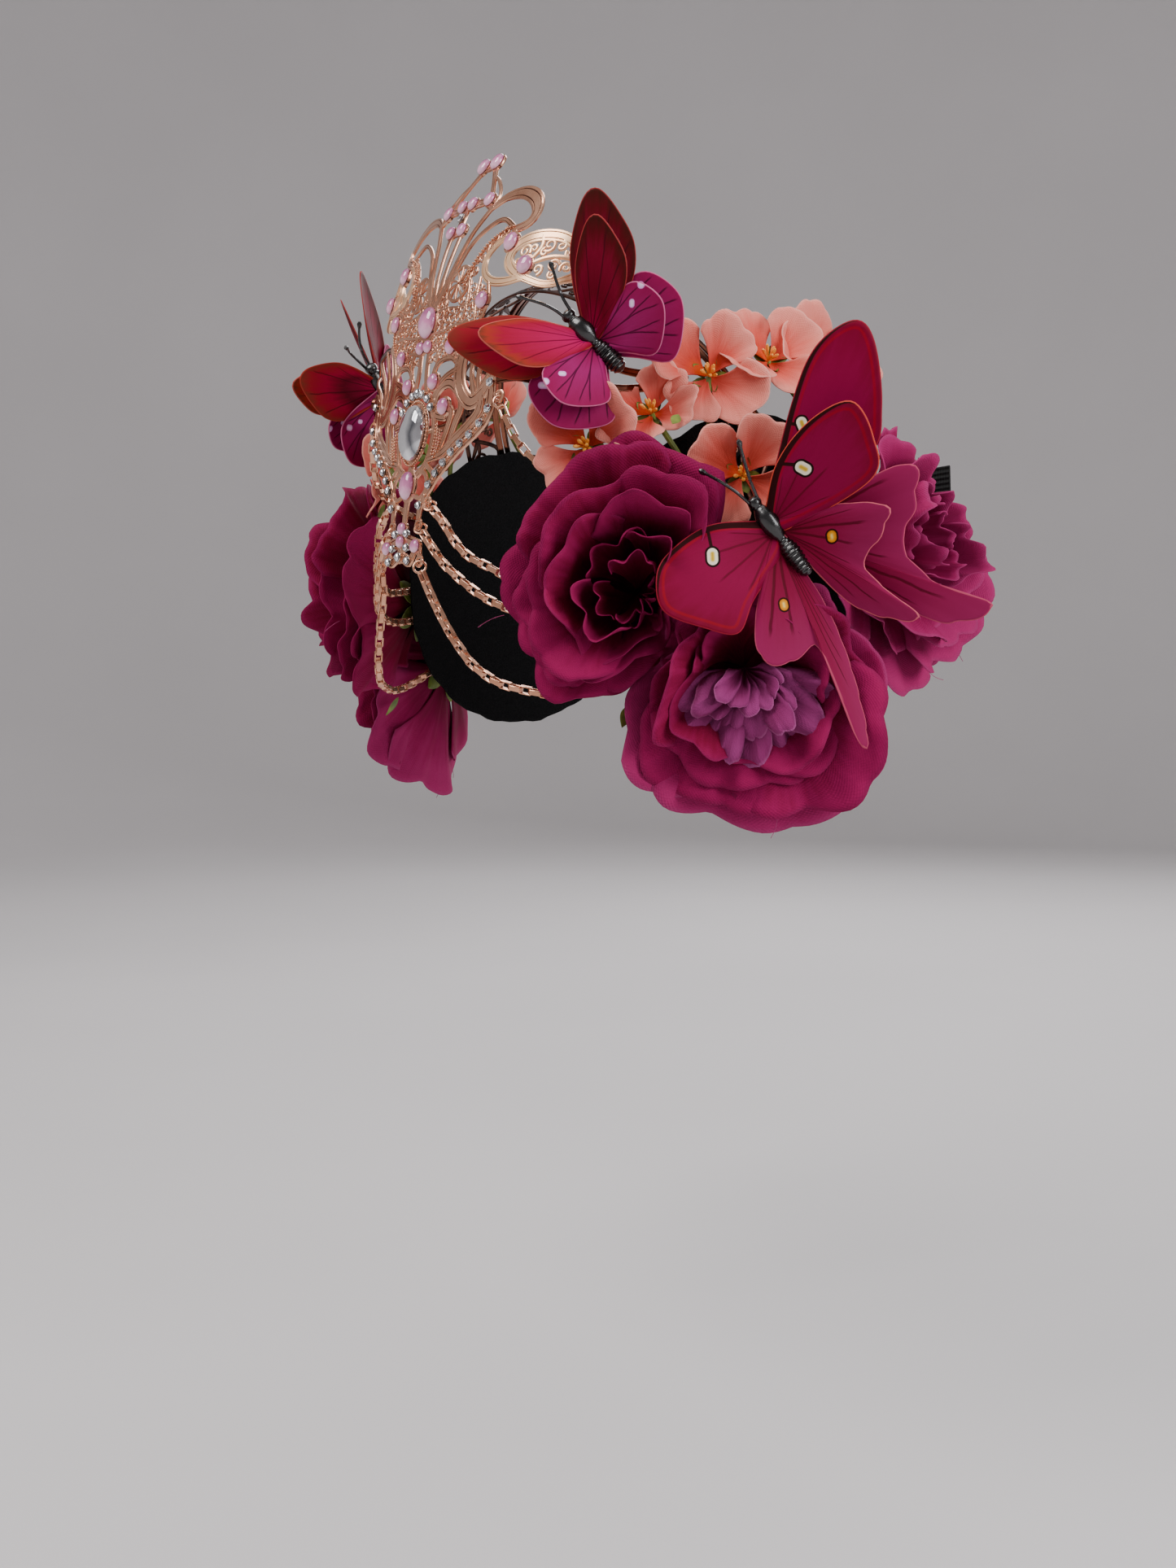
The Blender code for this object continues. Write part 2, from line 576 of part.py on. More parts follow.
def make_headband():
    """A wide lower rail, an upper rail, and a vine that waves between them with curled leaves."""
    repeat = BAND_LENGTH / VINE_REPEATS
    shapes = []
    for across, width in (LOWER_RAIL, UPPER_RAIL):
        shapes += stroke([(0, across, width), (BAND_LENGTH / 2, across, width),
                          (BAND_LENGTH, across, width)], 7.0)
    low = LOWER_RAIL[0] - LOWER_RAIL[1] / 2
    high = UPPER_RAIL[0] + UPPER_RAIL[1] / 2
    for end in (END_BAR_INSET, BAND_LENGTH - END_BAR_INSET):
        shapes += stroke([(end, low, END_BAR_WIDTH), (end, high, END_BAR_WIDTH)], 20)
    along = np.linspace(0, BAND_LENGTH, 6 * VINE_REPEATS + 1)
    wave = VINE_MIDDLE + VINE_SWING * np.sin(2 * math.pi * along / repeat)
    shapes += stroke(np.stack([along, wave, np.full(len(along), VINE_WIDTH)], 1), BAND_LENGTH)
    for i in range(VINE_REPEATS):
        leaf = [((i + share) * repeat, across, width) for share, across, width in VINE_LEAF]
        shapes += stroke(leaf)
    points, faces = sheet(shapes, band_place, BAND_WALL)
    add_mesh("headband", points, faces, "dark_copper")


# Felt pads, strap

def pad_outer(y, z):
    """How far out the felt lies: flat in its middle, falling away as the head does."""
    return (PAD_OUTER_X - np.maximum(np.abs(y) - FACET_HALF_Y, 0) ** 2 / PAD_BEND_SIDES
            - np.maximum(z, 0) ** 2 / PAD_BEND_UP
            - np.maximum(FACET_LOW_Z - z, 0) ** 2 / PAD_BEND_DOWN)


def make_pads():
    outline = oval(PAD_MIDDLE_Y, PAD_MIDDLE_Z, PAD_HALF_LENGTH, PAD_HALF_HEIGHT, 28)
    grid = []
    for y in (-46, -34, -22, -10, 10, 22, 34):
        for z in (-52, -27, 0, 16):
            inside = ((y - PAD_MIDDLE_Y) / (PAD_HALF_LENGTH - 3)) ** 2
            inside += ((z - PAD_MIDDLE_Z) / (PAD_HALF_HEIGHT - 3)) ** 2
            if inside < 1:
                grid.append((y, z))
    for name, side in (("pad_left", 1), ("pad_right", -1)):
        def place(y, z, height, side=side):
            return np.stack([side * (pad_outer(y, z) - PAD_WALL / 2 + height), y, z], -1)
        points, faces = sheet(outline, place, PAD_WALL, loose=grid)
        add_mesh(name, points, faces, "black_felt")


def flat_strip(name, middle, out, width, wall, finish):
    """A strip with square edges along a line, its face turned to the directions in out."""
    middle, out = np.asarray(middle, float), np.asarray(out, float)
    along = np.gradient(middle, axis=0)
    along /= np.linalg.norm(along, axis=1)[:, None]
    out = out - along * np.sum(along * out, 1)[:, None]
    out /= np.linalg.norm(out, axis=1)[:, None]
    up = np.cross(along, out)
    corners = [(-1, -1), (1, -1), (1, 1), (-1, 1)]
    points = np.concatenate([middle + up * width / 2 * a + out * wall / 2 * b
                             for a, b in corners])
    count = len(middle)
    faces = [(0, count, 2 * count, 3 * count)]
    faces.append(tuple(reversed([count - 1 + k * count for k in range(4)])))
    for i in range(count - 1):
        for k in range(4):
            a, b = k * count + i, ((k + 1) % 4) * count + i
            faces.append((a, a + 1, b + 1, b))
    return add_mesh(name, points, faces, finish)


def strap_line():
    """Middle line of the strap: inside the pad, then round the back of the head."""
    rows = []
    for y in STRAP_BEHIND_PAD_Y:
        inside = pad_outer(y, STRAP_MIDDLE_Z + STRAP_WIDTH / 2) - PAD_WALL
        x = inside - 2 * GAP - STRAP_WALL / 2
        rows.append((x, y, STRAP_MIDDLE_Z))
    half = smooth_line(rows + STRAP_ROUND_BACK, STRAP_STEP)
    other = half[-2::-1] * (-1, 1, 1)
    return np.vstack([half, other])


def make_strap():
    line = strap_line()
    out = line * (1, 1, 0)
    flat_strip("back_strap", line, out, STRAP_WIDTH, STRAP_WALL, "black_felt")
    start = TAIL_START + unit(TAIL_START * (1, 1, 0)) * TAIL_LIFT
    tail = smooth_line([start] + [start + step for step in TAIL_STEPS], 4)
    flat_strip("strap_tail", tail, np.tile(TAIL_FACE, (len(tail), 1)), TAIL_WIDTH, STRAP_WALL,
               "black_felt")


# Chains: from the tab of the crest to the front edge of the pad, left side

CHAIN_ROUTES = {
    "chain_1": [(43.5, -83.0, 27.0), (46.5, -80.8, 20.5), (50.5, -77.3, 15.0), (55.5, -71.5, 11.0),
                (61.5, -62.0, 7.5), (67.6, -50.7, 5.0)],
    "chain_2": [(21.0, -92.4, -2.3), (25.2, -90.8, -8.2), (30.0, -88.6, -12.9),
                (36.0, -85.3, -16.2), (42.6, -80.6, -19.9), (50.0, -73.8, -21.5),
                (57.5, -65.7, -21.0), (64.8, -55.8, -20.0)],
    "chain_3": [(16.3, -94.0, -9.4), (21.0, -92.5, -14.7), (25.2, -90.8, -18.3),
                (29.5, -88.9, -21.7), (34.5, -86.2, -25.3), (41.5, -81.5, -28.9),
                (50.0, -73.8, -31.2), (57.5, -65.7, -31.5), (64.8, -55.8, -30.5)],
    "chain_4": [(15.6, -94.2, -23.9), (19.3, -93.0, -30.1), (23.0, -91.6, -35.9),
                (26.8, -90.0, -41.0), (31.0, -88.0, -46.0), (37.5, -84.0, -50.9),
                (44.2, -79.1, -53.4), (53.2, -70.2, -55.2), (61.5, -59.5, -53.5),
                (69.6, -44.6, -48.0)],
}
# The way each chain leaves its tab, (across, up)
CHAIN_STARTS = {"chain_1": (0.3, -0.95), "chain_2": (0.8, -0.6), "chain_3": (0.75, -0.66),
                "chain_4": (0.35, -0.94)}


def chain_start(name):
    """Just under the tab that holds the chain, clear of the metal."""
    across, up = TABS[name]
    lean_x, lean_y = CHAIN_STARTS[name]
    drop = TAB_RADIUS + TAB_WIDTH / 2 + GAP
    return crest_place(np.array([across + drop * lean_x]), np.array([up + drop * lean_y]),
                       np.array([0.0]))[0]


def make_chain(name, label, side):
    rows = [chain_start(name)] + [np.array(row) for row in CHAIN_ROUTES[name]]
    line = smooth_line(rows, CHAIN_STEP) * (side, 1, 1)
    curve = bpy.data.curves.new(label, "CURVE")
    curve.dimensions = "3D"
    curve.bevel_depth = CHAIN_WIDTH / 2 * MM
    curve.bevel_resolution = 2
    curve.use_fill_caps = True
    spline = curve.splines.new("POLY")
    spline.points.add(len(line) - 1)
    for point, place in zip(spline.points, line):
        point.co = (*(place * MM), 1.0)
    curve.materials.append(material("rose_gold"))
    made = bpy.data.objects.new(label, curve)
    bpy.context.scene.collection.objects.link(made)


# Butterflies: outlines in their own plane, (towards the wearer's left, towards the head)

WING_RISE = 0.30
WING_VALLEY = 1.0
SECOND_RISE = 0.70
SECOND_LIFT = 0.9
SECOND_WAIST = 1.4
TOP_SECOND_SIZE = 0.78
BODY_RIM = 0.4
# Half width and half length of the body's back, as shares of the body's own
BODY_BACK = (0.6, 0.85)
VIEW_SIDE = np.array([0.559, 0.829, 0.0])
UPWARDS = np.array([0.0, 0.0, 1.0])

TOP_UPPER = [(0.5, 5), (8, 17), (15, 24.5), (26, 30.5), (31, 29), (30.5, 20), (27, 10), (18, 3),
             (0.5, -1)]
TOP_LOWER = [(0.5, 3), (18, 5), (25, 2), (26.5, -9), (20, -17), (12, -20.5), (6, -13), (0.5, -5)]
MOTH = {
    "left_upper": [(-0.5, 6), (-15, 15), (-30, 15.5), (-37, 11), (-40, 3), (-34, -7), (-27, -14.5),
                   (-18, -10), (-0.5, -3)],
    "left_lower": [(-0.5, 2), (-20, -14), (-25.5, -24), (-20, -30), (-11, -31), (-13.5, -44),
                   (-18, -59), (-15, -60), (-6, -40), (-1, -20)],
    "right_upper": [(0.5, 8), (25, 28), (39, 36), (51, 35), (52, 27), (43, 11), (32, 2), (0.5, -2)],
    "right_lower": [(0.5, 2), (38, -5), (34, -16), (25, -23), (26, -37), (34, -50), (32, -52.5),
                    (20, -46), (9, -23)],
}
MOTH_SECOND = [
    [(0.5, 8), (11, 17), (24, 20.5), (35, 17.5), (34, 6), (27, -3), (0.5, 1)],
    [(0.5, 3), (14, -1), (26, -11), (20, -17), (13, -20), (13.5, -30), (16, -40), (13.5, -41),
     (4, -27)],
]
# Where each sits, how long and wide its body is, and how far its wings spread
FLIERS = {
    "top_butterfly": {"middle": (65.4, -66.5, 49.3), "head": (-0.707, 0.707), "body": (2.3, 11.0),
                      "feelers": [(0.8, 8, 1.1), (2.5, 16, 1.1), (7, 25, 1.3)], "spread": 33.0},
    "moth": {"middle": (110.7, -32.6, -9.0), "head": (-0.613, 0.79), "body": (2.6, 13.0),
             "feelers": [(0.8, 10, 1.1), (3, 19, 1.1), (7, 29, 1.3)], "spread": 85.0},
}


def closed_line(rows, step):
    rows = list(rows) + [rows[0]]
    return smooth_line(rows, step)[:-1]


def flier_axes(row):
    """Middle, side, head and outward directions of a butterfly that faces the viewer."""
    aside, up = row["head"]
    ahead = unit(VIEW_SIDE * aside + UPWARDS * up)
    outward = unit(np.cross(VIEW_SIDE, UPWARDS))
    return np.array(row["middle"]), np.cross(ahead, outward), ahead, outward


def flier_place(row, rise, lift):
    middle, aside, ahead, outward = flier_axes(row)

    def place(x, y, height):
        out = np.abs(x) * rise + lift + height
        return middle + x[:, None] * aside + y[:, None] * ahead + out[:, None] * outward
    return place


def make_flier(name, first, second, side):
    """Lower wings, body and feelers as one sheet, with the upper pair of wings joined on."""
    row = FLIERS[name]
    half_x, half_y = row["body"]

    def relief(x, y):
        out = (x / half_x) ** 2 + (y / half_y) ** 2
        return half_x * np.sqrt(np.clip(1 - out, 0, 1))

    shapes = list(first) + oval(0, 0, half_x + BODY_RIM, half_y + BODY_RIM, 14)
    shapes += both_sides(stroke(row["feelers"], 8))
    rings = oval(0, 0, half_x, half_y, 10)
    rings += oval(0, 0, half_x * BODY_BACK[0], half_y * BODY_BACK[1], 8)
    points, faces = sheet(shapes, flier_place(row, WING_RISE, 0.0), WING_WALL, relief, rings)
    label = f"{name}_left" if side > 0 else f"{name}_right"
    made = add_mesh(label, points * (side, 1, 1), faces, "crimson_wing")
    upper = list(second) + oval(0, 0, SECOND_WAIST, half_y * 0.6, 8)
    points, faces = sheet(upper, flier_place(row, SECOND_RISE, SECOND_LIFT), WING_WALL)
    other = add_mesh(f"{label}_upper_wings", points * (side, 1, 1), faces, "crimson_wing")
    other.hide_render = True
    other.display_type = "WIRE"
    union = made.modifiers.new("upper_wings", "BOOLEAN")
    union.operation = "UNION"
    union.object = other


def make_fliers():
    top_first = both_sides([closed_line(TOP_UPPER, 8), closed_line(TOP_LOWER, 8)])
    top_second = [np.asarray(wing) * TOP_SECOND_SIZE for wing in top_first]
    moth_first = [closed_line(rows, 9) for rows in MOTH.values()]
    moth_second = [closed_line(rows, 9) for rows in MOTH_SECOND]
    for side in (1, -1):
        make_flier("top_butterfly", top_first, top_second, side)
        make_flier("moth", moth_first, moth_second, side)


# Flowers: every flower grows until it meets its own share of the space

PEONY_SIDES = 20
FLORET_SIDES = 10
PETAL_WALL = 1.1
STEM_RADIUS = 1.5
FIRST_GROWTH = 0.2
GROWTH_STEP = 0.01
# How much further than its neighbours one angle of a flower may grow
GROWTH_SPREAD = 0.1
HEART_RISE = 1.2
# Room between flowers, over the head as a share of its size, and over the felt
FLOWER_ROOM = 0.7
HEAD_ROOM = 1.10
FELT_ROOM = 2.5
FELT_MARGIN = 2.0
METAL_ROOM = 3.6
STEM_ROOM = 2.2

# middle, direction it faces, where its stem meets the felt (y, z), outer and inner radius, turn
PEONIES = {
    "peony_a": ((76, -58, -25), (0.78, -0.62, 0.0), (-50, -25), 42, 26, 0.3),
    "peony_b": ((97, -34, -47), (0.83, -0.55, -0.12), (-20, -42), 47, 29, 1.1),
    "peony_c": ((98, 22, -8), (0.95, 0.25, 0.05), (22, -12), 45, 28, 2.2),
}
FLORETS = {
    "floret_1": ((64, -69, 19), (0.6, -0.8, 0.1), (-39, 11), 16, 0.4),
    "floret_2": ((71.5, -50.3, 31), (0.6, -0.6, 0.5), (-35, 5), 16, 0.9),
    "floret_3": ((81, -12, 49), (0.7, -0.3, 0.6), (9, 20), 16, 0.2),
    "floret_4": ((78, -33, 42), (0.8, -0.5, 0.3), (-32, 16), 16, 0.6),
    "floret_5": ((93, -32, 10), (0.83, -0.55, 0.0), (-24, -2), 15, 0.5),
    "floret_6": ((80, 9, 47), (0.9, 0.1, 0.4), (17, 18), 15, 1.0),
}
NEAR_ONLY = {"floret_6"}
# Petal layers: share of the radius, height of the foot, rise to the rim, petals, notch, ruffle
PEONY_LAYERS = [(1.0, -9.0, 15.0, 7, 0.16, 2.4), (1.0, -5.0, 22.0, 6, 0.18, 1.8)]
FLORET_LAYER = (1.0, -4.0, 5.0, 4, 0.42, 0.8)
HUB_SHARE = 0.15
FLORET_HUB_SHARE = 0.14
# How high a petal stands when it has no room to grow, as a share of its full rise
SHORT_RISE = 0.3


def felt_point(y, z, height):
    return np.array([float(pad_outer(np.array(y), np.array(z))) + height, y, z])


def felt_normal(y, z):
    step = 1.0
    across = felt_point(y + step, z, 0) - felt_point(y - step, z, 0)
    up = felt_point(y, z + step, 0) - felt_point(y, z - step, 0)
    return unit(np.cross(across, up))


def flower_rows():
    rows = {}
    for name, (middle, facing, foot, outer, inner, turn) in PEONIES.items():
        rows[name] = {"middle": np.array(middle, float), "facing": unit(facing), "foot": foot,
                      "radii": (outer, inner), "turn": turn, "sides": PEONY_SIDES,
                      "layers": PEONY_LAYERS, "weight": outer * 0.9}
    for name, (middle, facing, foot, radius, turn) in FLORETS.items():
        rows[name] = {"middle": np.array(middle, float), "facing": unit(facing), "foot": foot,
                      "radii": (radius,), "turn": turn, "sides": FLORET_SIDES,
                      "layers": [FLORET_LAYER], "weight": radius * 0.9}
    return rows


def stem_line(row, count=3):
    """From the felt to the back of the petals, leaving the felt squarely."""
    start = felt_point(*row["foot"], GAP)
    end = row["middle"] + row["facing"] * row["layers"][0][1]
    knee = start + felt_normal(*row["foot"]) * 0.4 * np.linalg.norm(end - start)
    t = np.linspace(0, 1, count)[:, None]
    return (1 - t) ** 2 * start + 2 * t * (1 - t) * knee + t ** 2 * end


def flower_points(row, grow):
    """Rows of points from the foot to the heart; grow is the share of its size at each angle."""
    facing = row["facing"]
    aside = unit(np.cross(UPWARDS, facing))
    up = np.cross(facing, aside)
    angle = np.arange(row["sides"]) * 2 * math.pi / row["sides"]
    way = np.cos(angle)[:, None] * aside + np.sin(angle)[:, None] * up
    out = []
    stem = stem_line(row)
    normal = felt_normal(*row["foot"])
    for share, middle in zip((0.0, 0.5), stem[:2]):
        axis = unit(normal * (1 - 2 * share) + (stem[2] - stem[0]) * share)
        flat = way - (way @ axis)[:, None] * axis
        flat /= np.linalg.norm(flat, axis=1)[:, None]
        out.append(middle + flat * STEM_RADIUS)
    for index, (size, base, rise, petals, notch, ruffle) in enumerate(row["layers"]):
        radius = row["radii"][index] * size
        phase = row["turn"] + index * 0.7
        lobe = 1 - notch * np.abs(np.cos(petals * angle / 2 + phase))
        wave = ruffle * np.sin((petals + 4) * angle + phase * 2)
        hub = HUB_SHARE if len(row["layers"]) > 1 else FLORET_HUB_SHARE
        under = [hub, 0.68, 1.0] if index == 1 else [hub, 1.0]
        for wall, shares in ((0.0, under), (PETAL_WALL, under[:0:-1] + [hub * 0.9])):
            for share in shares:
                reach = radius * (min(share, hub) + max(share - hub, 0) * lobe * grow)
                climb = rise * share ** 1.5 * (SHORT_RISE + (1 - SHORT_RISE) * grow)
                height = base + climb + wave * share ** 3 + wall
                out.append(row["middle"] + way * reach[:, None] + facing * height[:, None])
    return np.array(out)


def growing_rows(row):
    """Numbers of the rows of flower_points that lie beyond the hub and so can grow."""
    numbers = []
    start = 2
    for index in range(len(row["layers"])):
        beyond = 4 if index == 1 else 2
        numbers += range(start + 1, start + 1 + beyond)
        start += beyond + 2
    return numbers


def clear_of_lines(points, lines, distance):
    flat = points.reshape(-1, 3)
    near = np.linalg.norm(flat[:, None] - lines[None], axis=2).min(axis=1)
    return (near > distance).reshape(points.shape[:-1])


def under_wings(points, name):
    """True where a point is far enough behind the wings of a butterfly."""
    row = FLIERS[name]
    middle, aside, ahead, outward = flier_axes(row)
    x, y, out = ((points - middle) @ axis for axis in (aside, ahead, outward))
    spread = row["spread"]
    beside = (np.abs(x) > spread) | (np.abs(y) > spread)
    rise = np.maximum(np.abs(x) - WING_VALLEY, 0) * WING_RISE
    return beside | (out < rise - WING_WALL / 2 - GAP)


def free_places(points, name, rows, lines):
    """Whether each point lies in the flower's own share of the space."""
    own = rows[name]
    free = np.ones(points.shape[:-1], bool)
    for other, row in rows.items():
        if other == name:
            continue
        apart = row["middle"] - own["middle"]
        distance = np.linalg.norm(apart)
        border = (distance ** 2 + own["weight"] ** 2 - row["weight"] ** 2) / (2 * distance)
        free &= (points - own["middle"]) @ (apart / distance) < border - FLOWER_ROOM
    head = np.sqrt((points[..., 0] / HEAD_HALF_WIDTH) ** 2
                   + (points[..., 1] / HEAD_HALF_DEPTH) ** 2
                   + (np.maximum(points[..., 2], 0) / HEAD_TOP) ** 2)
    free &= head > HEAD_ROOM
    x, y, z = points[..., 0], points[..., 1], points[..., 2]
    over_pad = (np.abs(y - PAD_MIDDLE_Y) < PAD_HALF_LENGTH + FELT_MARGIN)
    over_pad &= np.abs(z - PAD_MIDDLE_Z) < PAD_HALF_HEIGHT + FELT_MARGIN
    free &= ~over_pad | (x > pad_outer(y, z) + FELT_ROOM)
    for flier in FLIERS:
        free &= under_wings(points, flier)
    free &= clear_of_lines(points, lines, METAL_ROOM)
    for other, row in rows.items():
        if other != name:
            free &= clear_of_lines(points, stem_line(row, 9), STEM_RADIUS + STEM_ROOM)
    return free


def nearby_lines():
    """Points along the metal and the chains that the petals keep clear of."""
    lines = []
    for name in ("lower_rail", "upper_rail", "border", "frond_4"):
        line = smooth_line(CURLS[name], 3)
        lines.append(wing_place(line[:, 0], line[:, 1], np.zeros(len(line))))
    for name, route in CHAIN_ROUTES.items():
        rows = [chain_start(name)] + [np.array(row) for row in route]
        lines.append(smooth_line(rows, 3))
    return np.vstack(lines)


def make_flowers():
    rows = flower_rows()
    lines = nearby_lines()
    for name, row in rows.items():
        grow = np.full(row["sides"], FIRST_GROWTH)
        for share in np.arange(FIRST_GROWTH + GROWTH_STEP, 1 + GROWTH_STEP, GROWTH_STEP):
            points = flower_points(row, np.full(row["sides"], share))
            free = free_places(points[growing_rows(row)], name, rows, lines).all(axis=0)
            grow = np.where(free & (grow > share - 1.5 * GROWTH_STEP), share, grow)
        beside = np.minimum(np.roll(grow, 1), np.roll(grow, -1))
        grow = np.minimum(grow, beside + GROWTH_SPREAD)
        rings = flower_points(row, grow)
        heart = row["middle"] + row["facing"] * (row["layers"][-1][1] + PETAL_WALL + HEART_RISE)
        points = np.vstack([stem_line(row)[:1], rings.reshape(-1, 3), heart[None]])
        faces = turned_faces(row["sides"], len(rings))
        finish = "magenta_cloth" if name in PEONIES else "salmon_cloth"
        add_mesh(f"{name}_left", points, faces, finish, smooth=True)
        if name not in NEAR_ONLY:
            add_mesh(f"{name}_right", points * (-1, 1, 1), faces, finish, smooth=True)


make_crest()
for stone_name, (*stone_row, stone_finish) in LARGE_STONES.items():
    make_stone(stone_name, stone_row, stone_finish, sides=14)
for number, stone_row in enumerate(SIDE_STONES, 1):
    make_stone(f"pink_stone_left_{number}", stone_row, "pink_glass", 1, 10)
    make_stone(f"pink_stone_right_{number}", stone_row, "pink_glass", -1, 10)
make_headband()
make_pads()
make_strap()
for chain_name in CHAIN_ROUTES:
    make_chain(chain_name, f"{chain_name}_left", 1)
    make_chain(chain_name, f"{chain_name}_right", -1)
make_fliers()
make_flowers()
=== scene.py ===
# %% [markdown]
# # A flower diadem, dressed
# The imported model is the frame: a thin metal crest, an arched band, felt pads, chains, cloth
# flowers and cloth butterflies, as plain solids in their places. This lesson gives each of
# them its finish. Every shape is a numpy function on a grid in millimetres, turned into a mesh.

# %% Load the frame
import math

import bmesh
import bpy
import numpy as np
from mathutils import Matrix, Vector


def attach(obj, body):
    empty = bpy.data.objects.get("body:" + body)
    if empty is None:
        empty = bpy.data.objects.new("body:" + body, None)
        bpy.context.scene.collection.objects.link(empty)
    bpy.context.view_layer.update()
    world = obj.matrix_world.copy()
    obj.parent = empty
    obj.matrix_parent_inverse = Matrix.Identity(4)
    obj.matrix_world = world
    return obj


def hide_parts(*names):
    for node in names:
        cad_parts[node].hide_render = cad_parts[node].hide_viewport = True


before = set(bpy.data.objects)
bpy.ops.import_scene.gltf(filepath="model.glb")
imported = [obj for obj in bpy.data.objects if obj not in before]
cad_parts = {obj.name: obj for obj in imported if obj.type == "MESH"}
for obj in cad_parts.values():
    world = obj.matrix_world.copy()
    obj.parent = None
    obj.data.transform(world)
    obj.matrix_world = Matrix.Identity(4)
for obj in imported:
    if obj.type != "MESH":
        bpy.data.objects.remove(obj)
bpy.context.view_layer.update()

MM = 0.001
print("nodes in the frame:", len(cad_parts))

# %% [markdown]
# ## Camera, floor and light
# The photograph looks at the wearer's left temple and brow, a little from above. A camera
# could be set by eye, but here its lens, place and heading were worked out, so that crest,
# band and flowers line up with the photograph. The floor is one round sheet that curves up
# into a wall, so no edge shows from any side. Large soft lights give the metal long
# highlights, and a dim surround gives it darks.

# %% Camera
CAMERA_PLACE = (0.5433, -0.3908, -0.044)
CAMERA_HEADING = (-0.829, 0.559, -0.0652)
CAMERA_LENS = 44.3
SENSOR_WIDTH = 36.0

camera_data = bpy.data.cameras.new("camera")
camera_data.lens = CAMERA_LENS
camera_data.sensor_width = SENSOR_WIDTH
camera = bpy.data.objects.new("camera", camera_data)
camera.location = CAMERA_PLACE
camera.rotation_euler = Vector(CAMERA_HEADING).to_track_quat("-Z", "Y").to_euler()
bpy.context.scene.collection.objects.link(camera)
bpy.context.scene.camera = camera
print("camera at", CAMERA_PLACE)

# %% Soft lights and a dim surround
# Place, width, watts and colour of each square light
LIGHTS = {
    "key_light": ((-0.02, -1.05, 1.25), 0.9, 25.0, (1.0, 0.97, 0.95)),
    "side_light": ((1.25, 0.35, 0.45), 0.8, 17.0, (0.97, 0.98, 1.0)),
    "top_light": ((0.1, 0.0, 1.5), 1.2, 5.0, (1.0, 0.98, 0.97)),
    "back_light": ((-0.9, 1.1, 0.7), 0.9, 14.0, (1.0, 0.98, 1.0)),
}
AIM = Vector((0.03, -0.03, 0.0))
SURROUND_COLOUR = (0.61, 0.59, 0.60, 1.0)
SURROUND_STRENGTH = 0.50

for light_name, (place, width, watts, colour) in LIGHTS.items():
    light_data = bpy.data.lights.new(light_name, "AREA")
    light_data.size = width
    light_data.energy = watts
    light_data.color = colour
    lamp = bpy.data.objects.new(light_name, light_data)
    lamp.location = place
    lamp.rotation_euler = (AIM - Vector(place)).to_track_quat("-Z", "Y").to_euler()
    bpy.context.scene.collection.objects.link(lamp)

world = bpy.data.worlds.new("surround")
world.use_nodes = True
backdrop = world.node_tree.nodes["Background"]
backdrop.inputs["Color"].default_value = SURROUND_COLOUR
backdrop.inputs["Strength"].default_value = SURROUND_STRENGTH
bpy.context.scene.world = world
print("lights:", list(LIGHTS))

# %% [markdown]
# ## From grids to meshes
# Each piece could be pushed into shape by hand or built from Blender's primitives. Here it is
# worked out with numpy instead, because a formula is easy to change and gives even faces. A
# patch is a grid of points with the quads between them and two surface coordinates, and a
# piece is many patches in one mesh. Poles and seams are closed by merging the points that
# meet, and then all faces are turned outwards.


# %% Patches
def unit(vectors):
    """Each vector divided by its own length."""
    vectors = np.asarray(vectors, float)
    return vectors / np.linalg.norm(vectors, axis=-1, keepdims=True)


def circle(count):
    """Angles of count even steps round a circle."""
    return np.arange(count) * 2 * math.pi / count


def quads(rows, columns, around=False, closed=False):
    """Corner numbers of the quads of a grid; around and closed join its last edge to its first."""
    r = np.arange(rows if closed else rows - 1)[:, None]
    c = np.arange(columns if around else columns - 1)[None]
    r2, c2 = (r + 1) % rows, (c + 1) % columns
    corners = (r * columns + c, r * columns + c2, r2 * columns + c2, r2 * columns + c)
    return np.stack(np.broadcast_arrays(*corners), -1).reshape(-1, 4)


def patch(points, u, v, around=False, closed=False, finish=0, **marks):
    """A grid of points, shape (copies, rows, columns, 3) or (rows, columns, 3), as one patch."""
    points = points if points.ndim == 4 else points[None]
    copies, rows, columns = points.shape[:3]
    one = quads(rows, columns, around, closed)
    starts = np.arange(copies)[:, None, None] * rows * columns
    shape = (copies, rows, columns)
    uv = np.stack([np.broadcast_to(u, shape), np.broadcast_to(v, shape)], -1)
    return {"points": points.reshape(-1, 3), "faces": (one[None] + starts).reshape(-1, 4),
            "uv": uv.reshape(-1, 2), "finish": finish,
            "marks": {key: np.broadcast_to(mark, shape).ravel() for key, mark in marks.items()}}


def mirrored(patches):
    """The same patches on the wearer's other side: x becomes -x."""
    return [{**one, "points": one["points"] * (-1, 1, 1)} for one in patches]


def both_sides(patches):
    """The name of each side with the patches there."""
    return ("left", patches), ("right", mirrored(patches))


print("a grid of 3 rows and 4 columns has", len(quads(3, 4)), "quads")

# %% One object from patches
MERGE_DISTANCE = 1e-6


